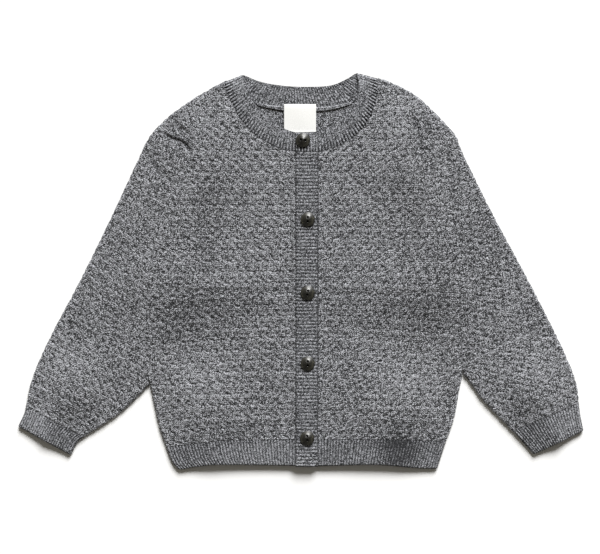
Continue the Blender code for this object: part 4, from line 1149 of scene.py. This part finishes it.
# The ridge is painted paler all over, as painted light, and darker along the groove between its two strands,
# as painted shade.
painted_light_and_shade = np.broadcast_to(-0.7 + 1.1 * np.clip(np.sin(ring), 0, 1) ** 8, radius.shape)
ridge = as_piece("linked_ridge", points.reshape(-1, 3), faces, "hollow_shade", painted_light_and_shade, places)
sew_on(ridge, neck_knit, "rib", "back_neck_seam")


# ---- Label ----
# A bare white woven tab, caught in the linked seam at its top and lying down over the back.
# It is thin smooth tape with a fine weave, and nothing is printed or woven into it.
LABEL_X, LABEL_WIDE, LABEL_THICK = -0.0006, 0.0256, 0.0004
LABEL_TOP_Y, LABEL_BOTTOM_Y = 0.1336, 0.1080
LABEL_HOLD, LABEL_FALL = 0.0026, 0.0180
x = LABEL_X + np.linspace(-LABEL_WIDE / 2, LABEL_WIDE / 2, 41)[None, :]
y = np.linspace(LABEL_TOP_Y, LABEL_BOTTOM_Y, 45)[:, None]
rest = WALL + SEAM + LABEL_THICK / 2
high = rest + 1.2 * RIDGE + SEAM
z = high + (rest - high) * np.clip((LABEL_TOP_Y - LABEL_HOLD - y) / LABEL_FALL, 0, 1) ** 1.2
z = z + 0.0001 * np.sin((x - LABEL_X) / 0.0047 + y / 0.009)
middle = np.stack(np.broadcast_arrays(x, y, z), axis=-1)
normal = np.stack([-np.gradient(z, x[0], axis=1), -np.gradient(z, y[:, 0], axis=0), np.ones_like(z)], axis=-1)
normal /= np.linalg.norm(normal, axis=2)[..., None]
thin_face = np.full(z.shape, LABEL_THICK / 2 - WALL / 2)
label = shell("woven_tab", middle, normal, thin_face, thin_face, middle[..., :2])
TAPE_RIB = 0.00055                  # one weft thread of the tape
label_finish = bpy.data.materials.new("label_tape")
label_finish.use_nodes = True
tree = label_finish.node_tree
shader = tree.nodes["Principled BSDF"]
shader.inputs["Roughness"].default_value = 0.6
shader.inputs["Sheen Weight"].default_value = 0.1
place = tree.nodes.new("ShaderNodeUVMap")
place.uv_map = "stitches"
parts = tree.nodes.new("ShaderNodeSeparateXYZ")
tree.links.new(place.outputs["UV"], parts.inputs["Vector"])
weft = maths(tree, "SINE", maths(tree, "MULTIPLY", parts.outputs["Y"], 2 * math.pi / TAPE_RIB))
warp = maths(tree, "SINE", maths(tree, "MULTIPLY", parts.outputs["X"], 4 * math.pi / TAPE_RIB))
weave = maths(tree, "MULTIPLY", weft, warp)
slub = tree.nodes.new("ShaderNodeTexNoise")
slub.inputs["Scale"].default_value = 300
slub.inputs["Detail"].default_value = 4
tree.links.new(place.outputs["UV"], slub.inputs["Vector"])
shades = tree.nodes.new("ShaderNodeValToRGB")
shades.color_ramp.elements[0].color = (0.955, 0.955, 0.935, 1)
shades.color_ramp.elements[1].color = (0.99, 0.99, 0.97, 1)
share = maths(tree, "ADD", slub.outputs["Fac"], maths(tree, "MULTIPLY", weave, 0.05))
tree.links.new(share, shades.inputs["Fac"])
tree.links.new(shades.outputs["Color"], shader.inputs["Base Color"])
bump = tree.nodes.new("ShaderNodeBump")
bump.inputs["Strength"].default_value = 0.15
bump.inputs["Distance"].default_value = 0.0001
tree.links.new(weave, bump.inputs["Height"])
tree.links.new(bump.outputs["Normal"], shader.inputs["Normal"])
sew_on(label, label_finish, "label", "label")


# ---- Buttons ----
# Five dark domed buttons of a horn look, turned and polished, with two holes one above the other.
# Each is sewn through both holes with dark thread. The top one lies on the neckband.
BUTTON_RADIUS, BUTTON_HEIGHT, BUTTON_RIM, BUTTON_FOOT = 0.0057, 0.0032, 0.0008, 0.0049
BUTTON_HOLE, BUTTON_HOLE_SPACING = 0.0009, 0.0032
BUTTONS = (                         # x, y and the turn of the two holes in degrees
    (0.0018, 0.1048, 80), (0.0056, 0.0416, 0), (0.0056, -0.0170, -12), (0.0056, -0.0732, 0),
    (0.0052, -0.1327, 4),
)
BUTTON_RINGS, BUTTON_SPOKES = 34, 72
BUTTON_CROWN = 0.55                 # share of the radius where the dome slopes most
BUTTON_DISH, BUTTON_DISH_RADIUS = 0.00012, 0.0026   # a shallow dish round the holes
DRILLED = 0.0016                    # depth to which a hole shows
HOLE_BEVEL = 0.00022
THREAD_RADIUS = 0.00012
THREAD_PROUD, THREAD_SINK = 0.0001, 0.0014         # over the dish, and down into the holes


def turn_button(name, turn):
    """A domed disc with a shallow dish in its middle and two drilled holes."""
    r = BUTTON_RADIUS * np.linspace(0, 1, BUTTON_RINGS) ** 0.85
    angle = np.linspace(0, 2 * math.pi, BUTTON_SPOKES, endpoint=False)
    share = r / BUTTON_RADIUS
    rise = (BUTTON_HEIGHT - BUTTON_RIM) * np.sqrt(1 - share ** 8)
    dome = BUTTON_RIM + rise / (1 + (share / BUTTON_CROWN) ** 3)
    dome -= BUTTON_DISH * np.exp(-(r / BUTTON_DISH_RADIUS) ** 6)
    x, y = r[:, None] * np.cos(angle), r[:, None] * np.sin(angle)
    z = np.repeat(dome[:, None], BUTTON_SPOKES, axis=1)
    drilled = np.zeros_like(x)
    way = math.radians(90 + turn)
    for side in (-0.5, 0.5):
        hole_x = side * BUTTON_HOLE_SPACING * math.cos(way)
        hole_y = side * BUTTON_HOLE_SPACING * math.sin(way)
        drilled += ease((BUTTON_HOLE - np.hypot(x - hole_x, y - hole_y)) / HOLE_BEVEL + 0.5)
    z -= DRILLED * drilled
    face = np.stack([x, y, z], axis=-1)[1:].reshape(-1, 3)
    foot = np.stack([BUTTON_FOOT * np.cos(angle), BUTTON_FOOT * np.sin(angle), np.zeros_like(angle)], axis=-1)
    points = np.vstack([[(0, 0, z[0, 0])], face, foot])
    number = 1 + np.arange(len(points) - 1).reshape(BUTTON_RINGS, BUTTON_SPOKES)
    turned = np.roll(number, -1, axis=1)
    faces = [(0, a, b) for a, b in zip(number[0].tolist(), turned[0].tolist())]
    faces += np.stack([number[:-1], number[1:], turned[1:], turned[:-1]], axis=-1).reshape(-1, 4).tolist()
    faces.append(number[-1, ::-1].tolist())
    # The holes' depth is kept as the mask of their painted shade.
    hole_shade_mask = np.zeros(len(points))
    hole_shade_mask[1:len(face) + 1] = drilled[1:].reshape(-1)
    return as_piece(name, points, faces, "drilled", hole_shade_mask)


def sew_thread(name, turn):
    """The sewing thread: across the dish from hole to hole, and down into both of them."""
    reach = BUTTON_HOLE_SPACING / 2 + THREAD_PROUD
    way = math.radians(90 + turn)
    t = np.linspace(-1, 1, 25)
    path = np.stack([reach * t * math.cos(way), reach * t * math.sin(way),
                     BUTTON_HEIGHT - BUTTON_DISH + THREAD_PROUD - THREAD_SINK * np.abs(t) ** 5], axis=-1)
    curve = bpy.data.curves.new(name, "CURVE")
    curve.dimensions = "3D"
    curve.bevel_depth = THREAD_RADIUS
    curve.bevel_resolution = 3
    curve.use_fill_caps = True
    spline = curve.splines.new("POLY")
    spline.points.add(len(path) - 1)
    for point, place in zip(spline.points, path):
        point.co = (*place, 1)
    thread = bpy.data.objects.new(name, curve)
    bpy.context.scene.collection.objects.link(thread)
    return thread


def horn_finish():
    """Polished horn look: dark olive brown with paler streaks, worn a little dull."""
    finish = bpy.data.materials.new("button_horn")
    finish.use_nodes = True
    tree = finish.node_tree
    shader = tree.nodes["Principled BSDF"]
    place = tree.nodes.new("ShaderNodeTexCoord")
    streak = tree.nodes.new("ShaderNodeTexNoise")
    streak.inputs["Scale"].default_value = 420
    streak.inputs["Detail"].default_value = 5
    streak.inputs["Distortion"].default_value = 1.5
    tree.links.new(place.outputs["Object"], streak.inputs["Vector"])
    ramp = tree.nodes.new("ShaderNodeValToRGB")
    ramp.color_ramp.elements[0].position = 0.35
    ramp.color_ramp.elements[0].color = (0.006, 0.006, 0.005, 1)
    ramp.color_ramp.elements[1].position = 0.75
    ramp.color_ramp.elements[1].color = (0.062, 0.060, 0.040, 1)
    middle = ramp.color_ramp.elements.new(0.55)
    middle.color = (0.019, 0.018, 0.014, 1)
    tree.links.new(streak.outputs["Fac"], ramp.inputs["Fac"])
    # Inside the holes the colour is painted near black: painted shade of the deep holes.
    hole = tree.nodes.new("ShaderNodeAttribute")
    hole.attribute_name = "drilled"
    painted_hole_shade = tree.nodes.new("ShaderNodeMix")
    painted_hole_shade.data_type = "RGBA"
    painted_hole_shade.inputs["B"].default_value = (0.001, 0.001, 0.001, 1)
    tree.links.new(hole.outputs["Fac"], painted_hole_shade.inputs["Factor"])
    tree.links.new(ramp.outputs["Color"], painted_hole_shade.inputs["A"])
    tree.links.new(painted_hole_shade.outputs["Result"], shader.inputs["Base Color"])
    face = maths(tree, "SUBTRACT", 1.0, hole.outputs["Fac"])
    tree.links.new(maths(tree, "MULTIPLY", face, 0.4), shader.inputs["Coat Weight"])
    shader.inputs["Coat Roughness"].default_value = 0.24
    scuff = tree.nodes.new("ShaderNodeTexNoise")
    scuff.inputs["Scale"].default_value = 700
    tree.links.new(place.outputs["Object"], scuff.inputs["Vector"])
    rough = maths(tree, "ADD", maths(tree, "MULTIPLY", scuff.outputs["Fac"], 0.2), 0.34)
    rough = maths(tree, "ADD", rough, maths(tree, "MULTIPLY", hole.outputs["Fac"], 0.5))
    tree.links.new(rough, shader.inputs["Roughness"])
    bump = tree.nodes.new("ShaderNodeBump")
    bump.inputs["Strength"].default_value = 0.15
    bump.inputs["Distance"].default_value = 0.0002
    tree.links.new(streak.outputs["Fac"], bump.inputs["Height"])
    tree.links.new(bump.outputs["Normal"], shader.inputs["Normal"])
    return finish


horn = horn_finish()
cotton = bpy.data.materials.new("sewing_thread")
cotton.use_nodes = True
tree = cotton.node_tree
shader = tree.nodes["Principled BSDF"]
shader.inputs["Roughness"].default_value = 0.95
shader.inputs["Specular IOR Level"].default_value = 0.1
place = tree.nodes.new("ShaderNodeTexCoord")
twist = tree.nodes.new("ShaderNodeTexWave")
twist.inputs["Scale"].default_value = 900
shades = tree.nodes.new("ShaderNodeValToRGB")
shades.color_ramp.elements[0].color = (0.008, 0.008, 0.007, 1)
shades.color_ramp.elements[1].color = (0.020, 0.019, 0.016, 1)
tree.links.new(place.outputs["Object"], twist.inputs["Vector"])
tree.links.new(twist.outputs["Fac"], shades.inputs["Fac"])
tree.links.new(shades.outputs["Color"], shader.inputs["Base Color"])
for number, (x, y, turn) in enumerate(BUTTONS, start=1):
    node = f"button_{number}"
    low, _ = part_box(node)
    button = turn_button(f"horn_{node}", turn)
    thread = sew_thread(f"thread_{node}", turn)
    for piece, finish in ((button, horn), (thread, cotton)):
        piece.location = (x, y, low[2])
        sew_on(piece, finish, "button", node)
